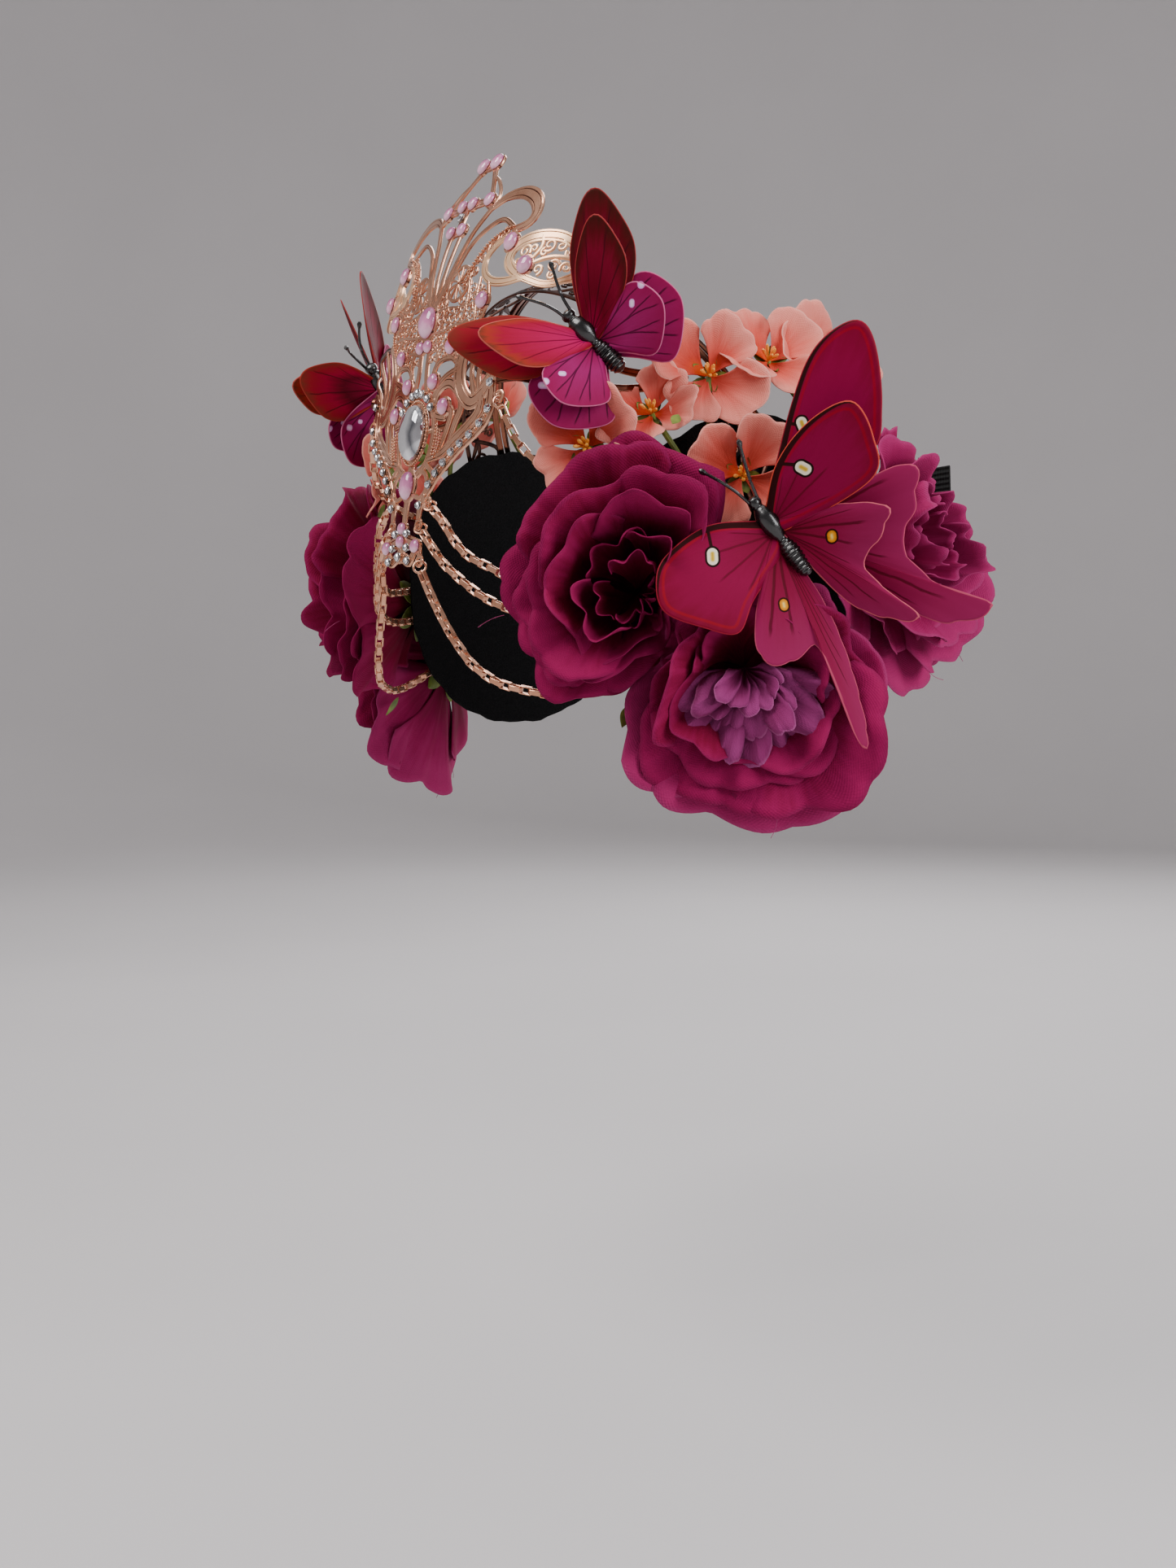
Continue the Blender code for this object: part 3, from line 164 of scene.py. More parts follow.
def piece(name, patches, finishes, nodes=(), crisp=40.0, wall=0.0):
    """One object from patches: merged, turned outwards, with surface coordinates and marks.
    Edges sharper than crisp degrees stay hard, and a wall in mm thickens a single sheet."""
    starts = np.cumsum([0] + [len(one["points"]) for one in patches])
    faces = [one["faces"] + start for one, start in zip(patches, starts)]
    points = np.concatenate([one["points"] for one in patches]) * MM
    uv = np.concatenate([one["uv"] for one in patches])
    numbers = np.concatenate([np.full(len(one["faces"]), one["finish"]) for one in patches])
    mesh = bpy.data.meshes.new(name)
    mesh.from_pydata(points.tolist(), [], np.concatenate(faces).tolist())
    corner = np.empty(len(mesh.loops), np.int32)
    mesh.loops.foreach_get("vertex_index", corner)
    layer = mesh.uv_layers.new(name="UVMap")
    layer.data.foreach_set("uv", uv[corner].astype(np.float32).ravel())
    mesh.polygons.foreach_set("material_index", numbers.astype(np.int32))
    for key in patches[0]["marks"]:
        values = np.concatenate([one["marks"][key] for one in patches])
        mark = mesh.attributes.new(key, "FLOAT", "POINT")
        mark.data.foreach_set("value", values.astype(np.float32))
    cleaned = bmesh.new()
    cleaned.from_mesh(mesh)
    bmesh.ops.remove_doubles(cleaned, verts=cleaned.verts, dist=MERGE_DISTANCE)
    bmesh.ops.recalc_face_normals(cleaned, faces=cleaned.faces)
    cleaned.to_mesh(mesh)
    cleaned.free()
    mesh.shade_smooth()
    mesh.set_sharp_from_angle(angle=math.radians(crisp))
    for finish in finishes:
        mesh.materials.append(finish)
    made = bpy.data.objects.new(name, mesh)
    bpy.context.scene.collection.objects.link(made)
    if wall:
        thick = made.modifiers.new("wall", "SOLIDIFY")
        thick.thickness = wall * MM
        thick.offset = 0.0
    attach(made, "root")
    if nodes:
        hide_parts(*nodes)
    print(f"{name}: {sum(len(face.vertices) - 2 for face in mesh.polygons)} triangles")
    return made


print("points within", MERGE_DISTANCE, "m of each other are merged")

# %% Smooth lines
CURVE_SAMPLES = 16


def smooth_line(rows, step, size=2):
    """Catmull-Rom curve through rows, sampled evenly; size columns are its place, the rest ride."""
    rows = np.asarray(rows, float)
    ends = np.vstack([2 * rows[0] - rows[1], rows, 2 * rows[-1] - rows[-2]])
    t = (np.arange(CURVE_SAMPLES) / CURVE_SAMPLES)[None, :, None]
    a, b, c, d = (ends[i:i + len(rows) - 1, None] for i in range(4))
    dense = 0.5 * (2 * b + (c - a) * t + (2 * a - 5 * b + 4 * c - d) * t ** 2
                   + (3 * b - a - 3 * c + d) * t ** 3)
    dense = np.vstack([dense.reshape(-1, rows.shape[1]), rows[-1:]])
    gone = np.linalg.norm(np.diff(dense[:, :size], axis=0), axis=1)
    gone = np.concatenate([[0.0], np.cumsum(gone)])
    want = np.linspace(0, gone[-1], max(3, round(gone[-1] / step) + 1))
    return np.stack([np.interp(want, gone, column) for column in dense.T], 1)


print("a rounded corner:", smooth_line([(0, 0), (10, 0), (10, 10)], 5).round(1).tolist())


# %% [markdown]
# ## Small helpers for materials
# Each finish is one Principled shader. An image could be wrapped round each piece, but noise
# and sums of nodes never blur or repeat. Patterns come from object coordinates, or from the
# piece's surface coordinates where they follow the cloth or the metal strip.


# %% Colours, nodes and sums
def paint(red, green, blue):
    """A display colour of 0 to 255 as the linear colour that a shader takes."""
    share = np.array([red, green, blue]) / 255
    return tuple(np.where(share < 0.04045, share / 12.92, ((share + 0.055) / 1.055) ** 2.4))


def node(tree, kind, fed=None, **settings):
    """One shader node; fed gives its inputs, as numbers or as another node's output."""
    made = tree.nodes.new("ShaderNode" + kind)
    for key, value in settings.items():
        setattr(made, key, value)
    for key, value in (fed or {}).items():
        if isinstance(value, bpy.types.NodeSocket):
            tree.links.new(value, made.inputs[key])
        else:
            made.inputs[key].default_value = value
    return made


def maths(tree, operation, a, b=0.0, c=None):
    """One sum of two or three sockets or numbers."""
    fed = {0: a, 1: b} if c is None else {0: a, 1: b, 2: c}
    return node(tree, "Math", fed, operation=operation).outputs[0]


def times(tree, a, b):
    """a b"""
    return maths(tree, "MULTIPLY", a, b)


def shifted(tree, level, value, amount):
    """level + amount (value - 0.5)"""
    return maths(tree, "MULTIPLY_ADD", maths(tree, "SUBTRACT", value, 0.5), amount, level)


def pair(tree, x, y):
    """Two numbers as one vector."""
    return node(tree, "CombineXYZ", {0: x, 1: y}).outputs[0]


def step_up(tree, value, low, high):
    """0 below low, 1 above high, smooth between."""
    return node(tree, "MapRange", {"Value": value, "From Min": low, "From Max": high},
                interpolation_type="SMOOTHSTEP").outputs["Result"]


def below(tree, value, low, high):
    """1 below low, 0 above high, smooth between."""
    return maths(tree, "SUBTRACT", 1.0, step_up(tree, value, low, high))


print("mid grey as linear light:", round(float(paint(128, 128, 128)[0]), 3))


# %% Ramps, noise and what a piece stores
def ramp(tree, value, stops):
    """A colour for each value, by a list of (place, display colour)."""
    made = node(tree, "ValToRGB", {"Fac": value})
    elements = made.color_ramp.elements
    elements.remove(elements[-1])
    elements[0].position = stops[0][0]
    elements[0].color = (*paint(*stops[0][1]), 1.0)
    for place, colour in stops[1:]:
        elements.new(place).color = (*paint(*colour), 1.0)
    return made.outputs["Color"]


def mixed(tree, share, first, second):
    """first where share is 0 and second where it is 1: display colours or sockets."""
    made = node(tree, "Mix", {0: share}, data_type="RGBA")
    for socket, value in ((made.inputs[6], first), (made.inputs[7], second)):
        if isinstance(value, bpy.types.NodeSocket):
            tree.links.new(value, socket)
        else:
            socket.default_value = (*paint(*value), 1.0)
    return made.outputs[2]


def noise(tree, scale, vector=None, detail=3.0):
    """Cloudy values from object coordinates in metres, or from a vector."""
    if vector is None:
        vector = node(tree, "TexCoord").outputs["Object"]
    return node(tree, "TexNoise", {"Vector": vector, "Scale": scale, "Detail": detail}
                ).outputs["Fac"]


def surface(tree):
    """The two surface coordinates of the piece."""
    parts = node(tree, "SeparateXYZ", {0: node(tree, "UVMap", uv_map="UVMap").outputs["UV"]})
    return parts.outputs["X"], parts.outputs["Y"]


def mark(tree, name):
    """A number that the piece's shape function stored at every point."""
    return node(tree, "Attribute", attribute_name=name).outputs["Fac"]


def material(name, roughness, metallic=0.0, **sockets):
    """A Principled material; constants sit on its own sockets."""
    made = bpy.data.materials.new(name)
    made.use_nodes = True
    shader = made.node_tree.nodes["Principled BSDF"]
    shader.inputs["Roughness"].default_value = roughness
    shader.inputs["Metallic"].default_value = metallic
    for key, value in sockets.items():
        shader.inputs[key.replace("_", " ")].default_value = value
    return made, made.node_tree, shader


def colour_in(tree, shader, colour):
    """The colour goes to the shader."""
    tree.links.new(colour, shader.inputs["Base Color"])


def bump_in(tree, shader, height, strength, distance):
    """A fine relief of height, distance metres deep at most."""
    made = node(tree, "Bump", {"Strength": strength, "Distance": distance, "Height": height})
    tree.links.new(made.outputs["Normal"], shader.inputs["Normal"])


def plain_finish(name, light, dark, roughness, scale, **sockets):
    """One colour with a cloudy change to a darker one, and a fine grain."""
    made, tree, shader = material(name, roughness, **sockets)
    colour_in(tree, shader, ramp(tree, noise(tree, scale), [(0.3, dark), (0.7, light)]))
    bump_in(tree, shader, noise(tree, scale * 6), 0.25, 0.0003)
    return made


print("material helpers ready")

# %% The floor, a round sheet that curves up into a wall
FLOOR_HEIGHT = -300.0
FLOOR_PROFILE = [(0, 0), (600, 0), (1500, 0), (2100, 60), (2500, 400), (2650, 1000), (2700, 2600)]
FLOOR_STEP = 120.0
FLOOR_SIDES = 72


def floor_patch():
    """A profile of radius and height turned round the upright axis."""
    profile = smooth_line(FLOOR_PROFILE, FLOOR_STEP)
    turn = circle(FLOOR_SIDES)
    x = profile[:, :1] * np.cos(turn)
    y = profile[:, :1] * np.sin(turn)
    z = np.broadcast_to(profile[:, 1:] + FLOOR_HEIGHT, x.shape)
    return patch(np.stack([x, y, z], -1), 0.0, 0.0, around=True)


def floor_finish():
    """Pale paper with faint wide clouds."""
    made, tree, shader = material("floor_paper", 0.85)
    colour_in(tree, shader, ramp(tree, noise(tree, 3.0), [(0.3, (200, 197, 198)),
                                                          (0.7, (204, 201, 202))]))
    return made


floor_mesh = piece("floor", [floor_patch()], [floor_finish()])

# %% [markdown]
# ## The metal
# The crest is stamped sheet with a polished rose-gold plating. Wide strips have lines engraved
# near their edges, and the plating is darker where polish never reached. The band's copper is
# painted near black as painted shade and dark reflection, and its rails are rubbed copper. One
# colour and a low roughness would look like plastic, so clouds of polish, a change of roughness
# and the dark of the engraving are mixed in. One function makes all five metals from their
# colours, and one of them is the rose gold with painted light, for the scroll that catches it.


# %% Metal finishes
POLISH_CLOUDS = 110.0
WEAR_CLOUDS = 500.0
METAL_GRAIN = 1400.0
# The engraved lines: their distance from a strip's middle as a share of its width, their
# half width and soft edge, and the dark in them
GROOVE_PLACE = 0.26
GROOVE_EDGE = (0.015, 0.055)
GROOVE_BROWN = (74, 36, 26)


def metal(name, light, dark, roughness, groove=0.0, metallic=1.0):
    """Plated metal: cloudy polish, and dark engraved lines at a quarter of a strip's width."""
    made, tree, shader = material(name, roughness, metallic)
    colour = ramp(tree, noise(tree, POLISH_CLOUDS), [(0.34, dark), (0.58, light)])
    _, across = surface(tree)
    from_middle = maths(tree, "ABSOLUTE", maths(tree, "SUBTRACT", across, 0.5))
    from_line = maths(tree, "ABSOLUTE", maths(tree, "SUBTRACT", from_middle, GROOVE_PLACE))
    shade = times(tree, below(tree, from_line, *GROOVE_EDGE), groove)
    colour_in(tree, shader, mixed(tree, shade, colour, GROOVE_BROWN))
    wear = maths(tree, "MULTIPLY_ADD", noise(tree, WEAR_CLOUDS), 0.10, roughness - 0.05)
    tree.links.new(wear, shader.inputs["Roughness"])
    bump_in(tree, shader, noise(tree, METAL_GRAIN, detail=2.0), 0.02, 0.0002)
    return made


# Name, light colour, dark colour, roughness, depth of the engraving's dark, metallic
ROSE_GOLD = metal("rose_gold_polished", (228, 174, 144), (204, 146, 116), 0.24, 0.85, 0.9)
# Pale gold: the same rose gold with painted light, for the scroll that catches the light
GOLD_PAINTED_LIGHT = metal("rose_gold_painted_light", (255, 210, 168), (250, 192, 150), 0.32, 0.6, 0.8)
# Near-black copper: painted shade and dark reflection on the band's copper
COPPER_PAINTED_SHADE = metal("copper_painted_shade", (92, 62, 52), (38, 26, 24), 0.34)
BROWN_COPPER = metal("rubbed_copper", (140, 88, 68), (98, 58, 46), 0.20, 0.7)
SILVER = metal("silver_cup", (210, 206, 204), (120, 112, 110), 0.18)
print("metals:", [metal_made.name for metal_made in (ROSE_GOLD, GOLD_PAINTED_LIGHT, COPPER_PAINTED_SHADE,
                                                     BROWN_COPPER, SILVER)])

# %% [markdown]
# ## The crest's surface
# On the real piece the filigree was cut flat and bent round the brow. It could be modelled
# bent, but flat curls are far easier to draw and check. So every curl is drawn flat, as a line
# with a place across, a place up and a width, and `crest_place` bends it: a wide arc in front,
# tight arcs at the temples, and a forward lean that grows towards the top. The rear wings of
# the crest lie on the arched band.

# %% Crest and band surfaces
PLATE_WALL = 0.8
FRONT_RADIUS = 150.0
TEMPLE_RADIUS = 28.0
FRONT_HALF_ARC = 40.0
BROW_Y = -94.3
LOWER_SLOPE = 0.145
LEAN_START = 52.0
LEAN_RATE = 0.0041
FRONT_TURN = FRONT_HALF_ARC / FRONT_RADIUS
TEMPLE_END = FRONT_HALF_ARC + TEMPLE_RADIUS * (math.pi / 2 - FRONT_TURN)
HEAD = np.array([74.0, 92.0, 75.0])
BAND_HALF_WIDTH = 78.4
BAND_FOOT_Y = -5.0
BAND_FORWARD = 40.0
BAND_HEIGHT = 78.0
BAND_WALL = 0.8
BAND_LENGTH = 260.0
SEAT_GAP = 0.5
SEAT_LIFT = BAND_WALL / 2 + SEAT_GAP + PLATE_WALL / 2
# Where the crest's rear wings lie on the band: a place along the band for a place up the
# crest, the band's middle as a place across the crest, and where they turn onto it
SEAT_ALONG = 54.0
SEAT_UP = 48.0
SEAT_ACROSS = 90.0
SEAT_FROM = 56.0
SEAT_TO = 80.0


def crest_place(across, up, height):
    """A flat point bent onto the brow: turn = across / radius, first on a wide arc and then on
    a tight one, y = brow + slope up + rate (up - start)^2, and height goes outwards."""
    far = np.abs(across)
    turn = np.where(far < FRONT_HALF_ARC, far / FRONT_RADIUS,
                    FRONT_TURN + (far - FRONT_HALF_ARC) / TEMPLE_RADIUS)
    turn = np.minimum(turn, math.pi / 2)
    wide, tight = np.minimum(turn, FRONT_TURN), np.maximum(turn, FRONT_TURN)
    x = FRONT_RADIUS * np.sin(wide) + TEMPLE_RADIUS * (np.sin(tight) - math.sin(FRONT_TURN))
    back = (FRONT_RADIUS * (1 - np.cos(wide)) + np.maximum(far - TEMPLE_END, 0)
            + TEMPLE_RADIUS * (math.cos(FRONT_TURN) - np.cos(tight)))
    over = np.maximum(up - LEAN_START, 0)
    tilt = np.arctan(LOWER_SLOPE + 2 * LEAN_RATE * over)
    side = np.sign(across)
    y = BROW_Y + LOWER_SLOPE * up + LEAN_RATE * over ** 2 + back
    return np.stack([side * (x + height * np.sin(turn) * np.cos(tilt)),
                     y - height * np.cos(turn) * np.cos(tilt),
                     up + height * np.sin(tilt)], -1)


def band_place(along, across, height):
    """A flat point of the band bent over the head: middle = (half width cos, forward sin,
    height sin) of pi along / length, plus across sideways and height - across^2 / 2 r outwards."""
    turn = math.pi * along / BAND_LENGTH
    middle = np.stack([BAND_HALF_WIDTH * np.cos(turn), BAND_FOOT_Y - BAND_FORWARD * np.sin(turn),
                       BAND_HEIGHT * np.sin(turn)], -1)
    tangent = unit(np.stack([-BAND_HALF_WIDTH * np.sin(turn), -BAND_FORWARD * np.cos(turn),
                             BAND_HEIGHT * np.cos(turn)], -1))
    outward = middle / HEAD ** 2
    outward = unit(outward - tangent * np.sum(tangent * outward, -1, keepdims=True))
    aside = np.cross(outward, tangent)
    height = np.broadcast_to(height, np.shape(along)) - across ** 2 / (2 * HEAD[1])
    return middle + aside * across[..., None] + outward * height[..., None]


def wing_place(across, up, height):
    """The crest, with its rear wings turned onto the band: crest (1 - mix) + seat mix."""
    far = np.abs(across)
    seat = band_place(SEAT_ALONG + (up - SEAT_UP), SEAT_ACROSS - far, height + SEAT_LIFT)
    seat[..., 0] *= np.sign(across)
    mix = np.clip((far - SEAT_FROM) / (SEAT_TO - SEAT_FROM), 0, 1)
    mix = (mix * mix * (3 - 2 * mix))[..., None]
    return crest_place(across, up, height) * (1 - mix) + seat * mix


crest_top = crest_place(np.array([0.0]), np.array([117.0]), np.zeros(1))[0]
print("the crest's top leans to", crest_top.round(1).tolist())


# %% [markdown]
# ## Strips of metal
# A strip is a profile carried along a line. A curve with a bevel would give the same, but
# its width couldn't swell and narrow as these do, nor its surface carry engraved lines. The
# profile of a wide strip has two grooves, and the narrow one is softly crowned. Ends are
# round: the width there follows a half circle, and the last row shrinks to a point.

# %% Strip profiles and the strip function
# Each point is a share of the width across and a share of the wall outwards
SOFT = np.array([(-0.5, -0.2), (-0.4, 0.34), (-0.14, 0.5), (0.14, 0.5), (0.4, 0.34), (0.5, -0.2),
                 (0.3, -0.5), (-0.3, -0.5)])
ENGRAVED = np.array([(-0.5, -0.3), (-0.5, 0.26), (-0.45, 0.5), (-0.31, 0.5), (-0.26, 0.18),
                     (-0.21, 0.5), (0.21, 0.5), (0.26, 0.18), (0.31, 0.5), (0.45, 0.5),
                     (0.5, 0.26), (0.5, -0.3), (0.42, -0.5), (-0.42, -0.5)])
ROUND_END = np.array([(1.0, 0.0), (0.8, 0.6), (0.45, 0.89)])
ENGRAVED_FROM = 1.95
CURL_STEP = 1.1
# Crossing strips lie this much above each other, in five layers
LAYER_LIFT = 0.03
LAYERS = 5


def rounded_ends(line):
    """The line with three more rows beyond each end, narrowing as a half circle."""
    before = unit(line[0, :2] - line[1, :2]) * line[0, 2] / 2
    after = unit(line[-1, :2] - line[-2, :2]) * line[-1, 2] / 2
    head = np.column_stack([line[0, :2] + before * ROUND_END[:, :1], line[0, 2] * ROUND_END[:, 1]])
    foot = np.column_stack([line[-1, :2] + after * ROUND_END[:, :1],
                            line[-1, 2] * ROUND_END[:, 1]])[::-1]
    return np.vstack([head, line, foot])


def strip(line, place, profile=None, wall=PLATE_WALL, lift=0.0):
    """Point = place(line + aside * width * a, wall * h + lift) for each profile point (a, h)."""
    if profile is None:
        profile = ENGRAVED if line[:, 2].max() > ENGRAVED_FROM else SOFT
    line = rounded_ends(line)
    along = unit(np.gradient(line[:, :2], axis=0))
    aside = np.stack([-along[:, 1], along[:, 0]], 1)
    flat = line[:, None, :2] + aside[:, None] * (line[:, 2:3] * profile[:, 0])[..., None]
    height = wall * profile[:, 1] * (line[:, 2:3] > 0) + lift
    points = place(flat[..., 0], flat[..., 1], height)
    across = profile[:, 0] + 0.5 if profile is ENGRAVED else 0.5
    run = np.arange(len(line))[:, None] / 10
    return patch(points, run, across, around=True)


def strips(table):
    """One strip for each row of a table, each lifted a little differently so none coincide."""
    return [strip(smooth_line(rows, CURL_STEP), wing_place, lift=LAYER_LIFT * (number % LAYERS))
            for number, rows in enumerate(table)]


print("points round a wide strip:", len(ENGRAVED), "and a narrow one:", len(SOFT))


# %% [markdown]
# ## The crest's curls
# Each line below is one strip of the left half, as places across, places up and widths. They
# could be traced as one outline with holes, but a strip for each curl keeps its own swelling
# width and its own edges. The bold scrolls, stems and rails come first, then the pale scroll
# that catches the light, then the fine net between them.

# %% Bold curls
CURLS = {
    "top_stem": [(3, 114.5, 2.6), (9, 106.5, 1.6), (13, 100, 2.2)],
    "top_twig": [(7, 109.5, 1.0), (12, 106.5, 1.3), (16.5, 101.5, 1.3), (16, 97, 1.3)],
    "loop": [(13, 98, 1.6), (16, 97, 2.0), (22, 99.5, 3.0), (30, 99.5, 4.2), (36.5, 96.5, 4.8),
             (39.5, 92, 4.2), (38, 88.5, 3.2), (33, 87, 2.8)],
    "rib_inner": [(1, 66, 2.4), (2.2, 79, 1.5), (3.2, 91, 1.5)],
    "rib_middle": [(2, 67, 2.4), (6, 77, 1.7), (8.5, 84, 1.5), (11, 90, 1.5), (16, 97, 1.8)],
    "rib_outer": [(3, 68, 2.2), (8.5, 78.5, 1.5), (13, 86, 1.4), (20, 90.6, 1.4),
                  (26, 91.3, 1.6), (33, 87, 2.0)],
    "band_inner_edge": [(15.6, 71, 1.0), (18, 78.6, 1.0), (22.6, 84.2, 1.0), (28, 87.2, 1.0),
                        (33, 88.2, 1.0)],
    "filigree_side": [(28, 71, 1.6), (29.5, 66, 1.6), (28, 60, 1.6), (23, 53, 1.8)],
    "outer_leaf": [(28, 58, 2.2), (24, 53.5, 4.4), (21.5, 48, 5.6), (21.5, 42, 5.8),
                   (24, 37.2, 5.4), (28.5, 34.2, 5.0), (33, 36.5, 4.6), (35.5, 39.5, 3.2)],
    "frond_1": [(29.5, 37, 2.6), (27.2, 44, 1.6), (28.6, 50, 1.5), (33, 57, 1.5)],
    "frond_2": [(31, 38, 2.4), (30.8, 44, 1.6), (34.5, 49, 1.5), (42, 55.5, 1.4)],
    "frond_3": [(33, 39, 2.4), (37, 44, 1.6), (43.5, 47.5, 1.5), (53, 52, 1.4)],
    "frond_4": [(35.5, 40, 2.4), (42, 43.8, 1.7), (50, 42.4, 1.8)],
    "border": [(37, 41, 3.4), (37.4, 34, 4.2), (36, 29.3, 4.4), (32, 25.2, 4.2), (28, 22.6, 4.2),
               (24, 20, 4.2), (20, 16.8, 4.2), (16, 13.4, 4.0), (12.8, 9.6, 3.6), (9, 4.5, 3.0),
               (8.4, 0.2, 2.2)],
    "inner_border": [(33, 36, 3.0), (32.4, 31, 3.2), (28, 26.8, 3.4), (22.5, 23.2, 3.4),
                     (17, 19.6, 3.0), (10, 18, 2.2)],
    "spiral": [(15.5, 30.5, 2.2), (10.5, 32, 2.8), (9.4, 36.5, 3.4), (11.6, 40.4, 3.6),
               (17, 41.4, 3.6), (22.4, 38, 3.4)],
    "spiral_tail": [(22, 40, 2.4), (24, 33, 2.6), (22, 28, 2.4), (19.5, 21, 2.0)],
    "spiral_heart": [(15.5, 34, 2.2), (19.4, 32.5, 2.2), (18.4, 27, 2.2), (14.5, 19, 2.0)],
    "petal_window": [(10.5, 41, 2.0), (7.2, 45, 2.0), (10, 48.6, 1.8), (16, 49.2, 1.8),
                     (20, 47, 2.2)],
    "petal_window_low": [(10.5, 41, 2.0), (14.5, 43.6, 2.0), (20.5, 45.5, 2.0)],
    "middle_wire": [(2.6, 53, 1.8), (2.4, 47, 1.8), (3.4, 42, 2.0), (5.4, 37.5, 2.4)],
    "oval_frame": [(7, 37, 2.6), (10.6, 30.5, 2.4), (11, 24, 2.4), (8.8, 17, 2.4), (4, 13.6, 2.6)],
    "oval_frame_tie": [(7, 27, 1.6), (11, 27, 1.8)],
    "low_curl": [(5, 15, 1.8), (9.4, 13.4, 1.8), (10.6, 9, 1.8), (7.4, 6.2, 1.6), (3, 7.4, 1.6)],
    "low_tie": [(8.8, 17, 1.8), (12, 14.5, 1.8), (15, 12.6, 1.8)],
    "drop_arm": [(0, -6.5, 4.4), (4.6, -7.6, 4.2), (9.2, -9.1, 4.4), (11.2, -11.4, 2.2)],
    "drop_foot": [(0, -12, 3.6), (3, -12.8, 3.4), (6, -13.8, 3.2), (8.4, -10.5, 2.0)],
}
MIDDLE_CURLS = {
    "top_tie": [(-4, 114.3, 3.0), (0, 114, 3.0), (4, 114.3, 3.0)],
    "star_row": [(-13, 100, 2.2), (-6, 100.2, 3.0), (0, 100.4, 3.4), (6, 100.2, 3.0),
                 (13, 100, 2.2)],
    "star_drop": [(0, 100, 2.0), (0, 96, 3.4), (0, 91.6, 3.0)],
    "star_foot": [(-5, 91.6, 2.2), (0, 91.4, 2.6), (5, 91.6, 2.2)],
    "root": [(0, 60, 4.0), (0, 66, 4.6), (0, 70, 2.2)],
    "crown_arc": [(-9, 34.6, 3.0), (-5.4, 38, 3.0), (0, 39.4, 3.0), (5.4, 38, 3.0), (9, 34.6, 3.0)],
    "stem": [(0, 16, 3.0), (0, 6, 3.0), (0, -3, 2.6), (0, -12, 4.6)],
}
RAILS = {
    "lower_rail": [(37.5, 40, 2.4), (46, 40, 1.8), (55, 38.6, 1.8), (66, 41, 2.4), (78, 45, 3.2),
                   (91, 48, 6.0)],
    "upper_rail": [(26, 57, 2.0), (34, 57.6, 2.2), (45, 55, 2.0), (56, 51, 2.2), (68, 49, 2.8),
                   (80, 48, 4.0), (91, 48, 6.0)],
}
print("bold curls:", len(CURLS), "middle:", len(MIDDLE_CURLS), "rails:", len(RAILS))

# %% Pale scroll and its curled cut-outs
SCROLL = {
    "crescent": [(33, 86, 1.6), (27.5, 84, 2.0), (23.6, 79.5, 2.2), (24.8, 74.5, 2.4),
                 (29, 71.5, 2.8), (35, 70.5, 2.8), (42, 71, 2.6)],
    "scroll": [(42, 71, 2.6), (37.5, 73.6, 3.4), (34.6, 77, 3.8), (35.4, 80.6, 3.8),
               (39.5, 82.8, 3.8), (46, 83.4, 3.8), (53, 82.2, 3.4), (58.5, 78.5, 3.0),
               (60.5, 74, 2.4), (57.5, 69.5, 2.2), (50.5, 68, 2.2), (42, 71, 2.4)],
    "scroll_leaf_a": [(43, 75, 1.3), (46.5, 79.5, 1.4), (46, 83, 1.4)],
    "scroll_leaf_b": [(43, 74.5, 1.4), (51, 76.2, 1.4), (60, 75, 1.4)],
}
# Small open spirals: across, up, radius, first angle in turns, turns (negative turns back)
SCROLL_CURLS = np.array([
    (40.6, 79.0, 2.0, 0.10, 1.1), (44.0, 79.4, 1.5, 0.60, -1.0), (49.2, 80.0, 2.1, 0.70, 1.1),
    (53.2, 79.4, 1.6, 0.20, -1.0), (56.8, 77.0, 1.7, 0.45, 1.1), (48.0, 77.9, 1.3, 0.30, 1.0),
    (52.2, 73.4, 1.9, 0.05, 1.1), (56.2, 72.6, 1.7, 0.55, -1.1), (47.2, 72.6, 1.7, 0.80, 1.0),
    (43.4, 72.6, 1.2, 0.25, -1.0), (38.6, 75.8, 1.3, 0.85, 1.0), (52.4, 70.4, 1.2, 0.40, 1.0)])
CURL_SAMPLES = 18
# How much of its radius and of its width a curl loses towards its heart
CURL_CLOSE = 0.7
CURL_THIN = 0.4
CURL_WALL = 0.7
CURL_LIFT = 0.02
CURL_LAYERS = 4


def spiral_strips(rows, width, place, lift=0.0):
    """Open spirals: with t from 0 to 1, angle = start + turns t, radius = r (1 - 0.7 t)."""
    t = np.linspace(0, 1, CURL_SAMPLES)
    out = []
    for number, (across, up, radius, start, turns) in enumerate(rows):
        angle = 2 * math.pi * (start + turns * t)
        reach = radius * (1 - CURL_CLOSE * t)
        line = np.stack([across + reach * np.cos(angle), up + reach * np.sin(angle),
                         width * (1 - CURL_THIN * t)], 1)
        out.append(strip(line, place, SOFT, CURL_WALL, lift + CURL_LIFT * (number % CURL_LAYERS)))
    return out


print("pale lines:", len(SCROLL), "pale curls:", len(SCROLL_CURLS))


# %% The fine net, filled with rows of small curls
NET = [
    [(6.5, 44, 1.1), (8, 50, 1.1), (6.5, 56, 1.1), (8.2, 63, 1.1), (7, 70, 1.1)],
    [(18, 48, 1.1), (19.5, 54, 1.1), (18.5, 60, 1.1), (19.5, 66, 1.1), (18.5, 72, 1.1)],
    [(24, 54, 1.1), (25, 60, 1.1), (24, 66, 1.1), (23.5, 73, 1.1)],
    [(3, 52, 1.1), (10, 53.5, 1.1), (16, 52.5, 1.1), (23, 54, 1.3)],
    [(3, 58, 1.1), (10, 58.4, 1.1), (17, 59.5, 1.1), (27, 59, 1.1)],
    [(3, 65, 1.1), (10, 65.5, 1.1), (17, 65, 1.1), (28, 66, 1.1)],
]
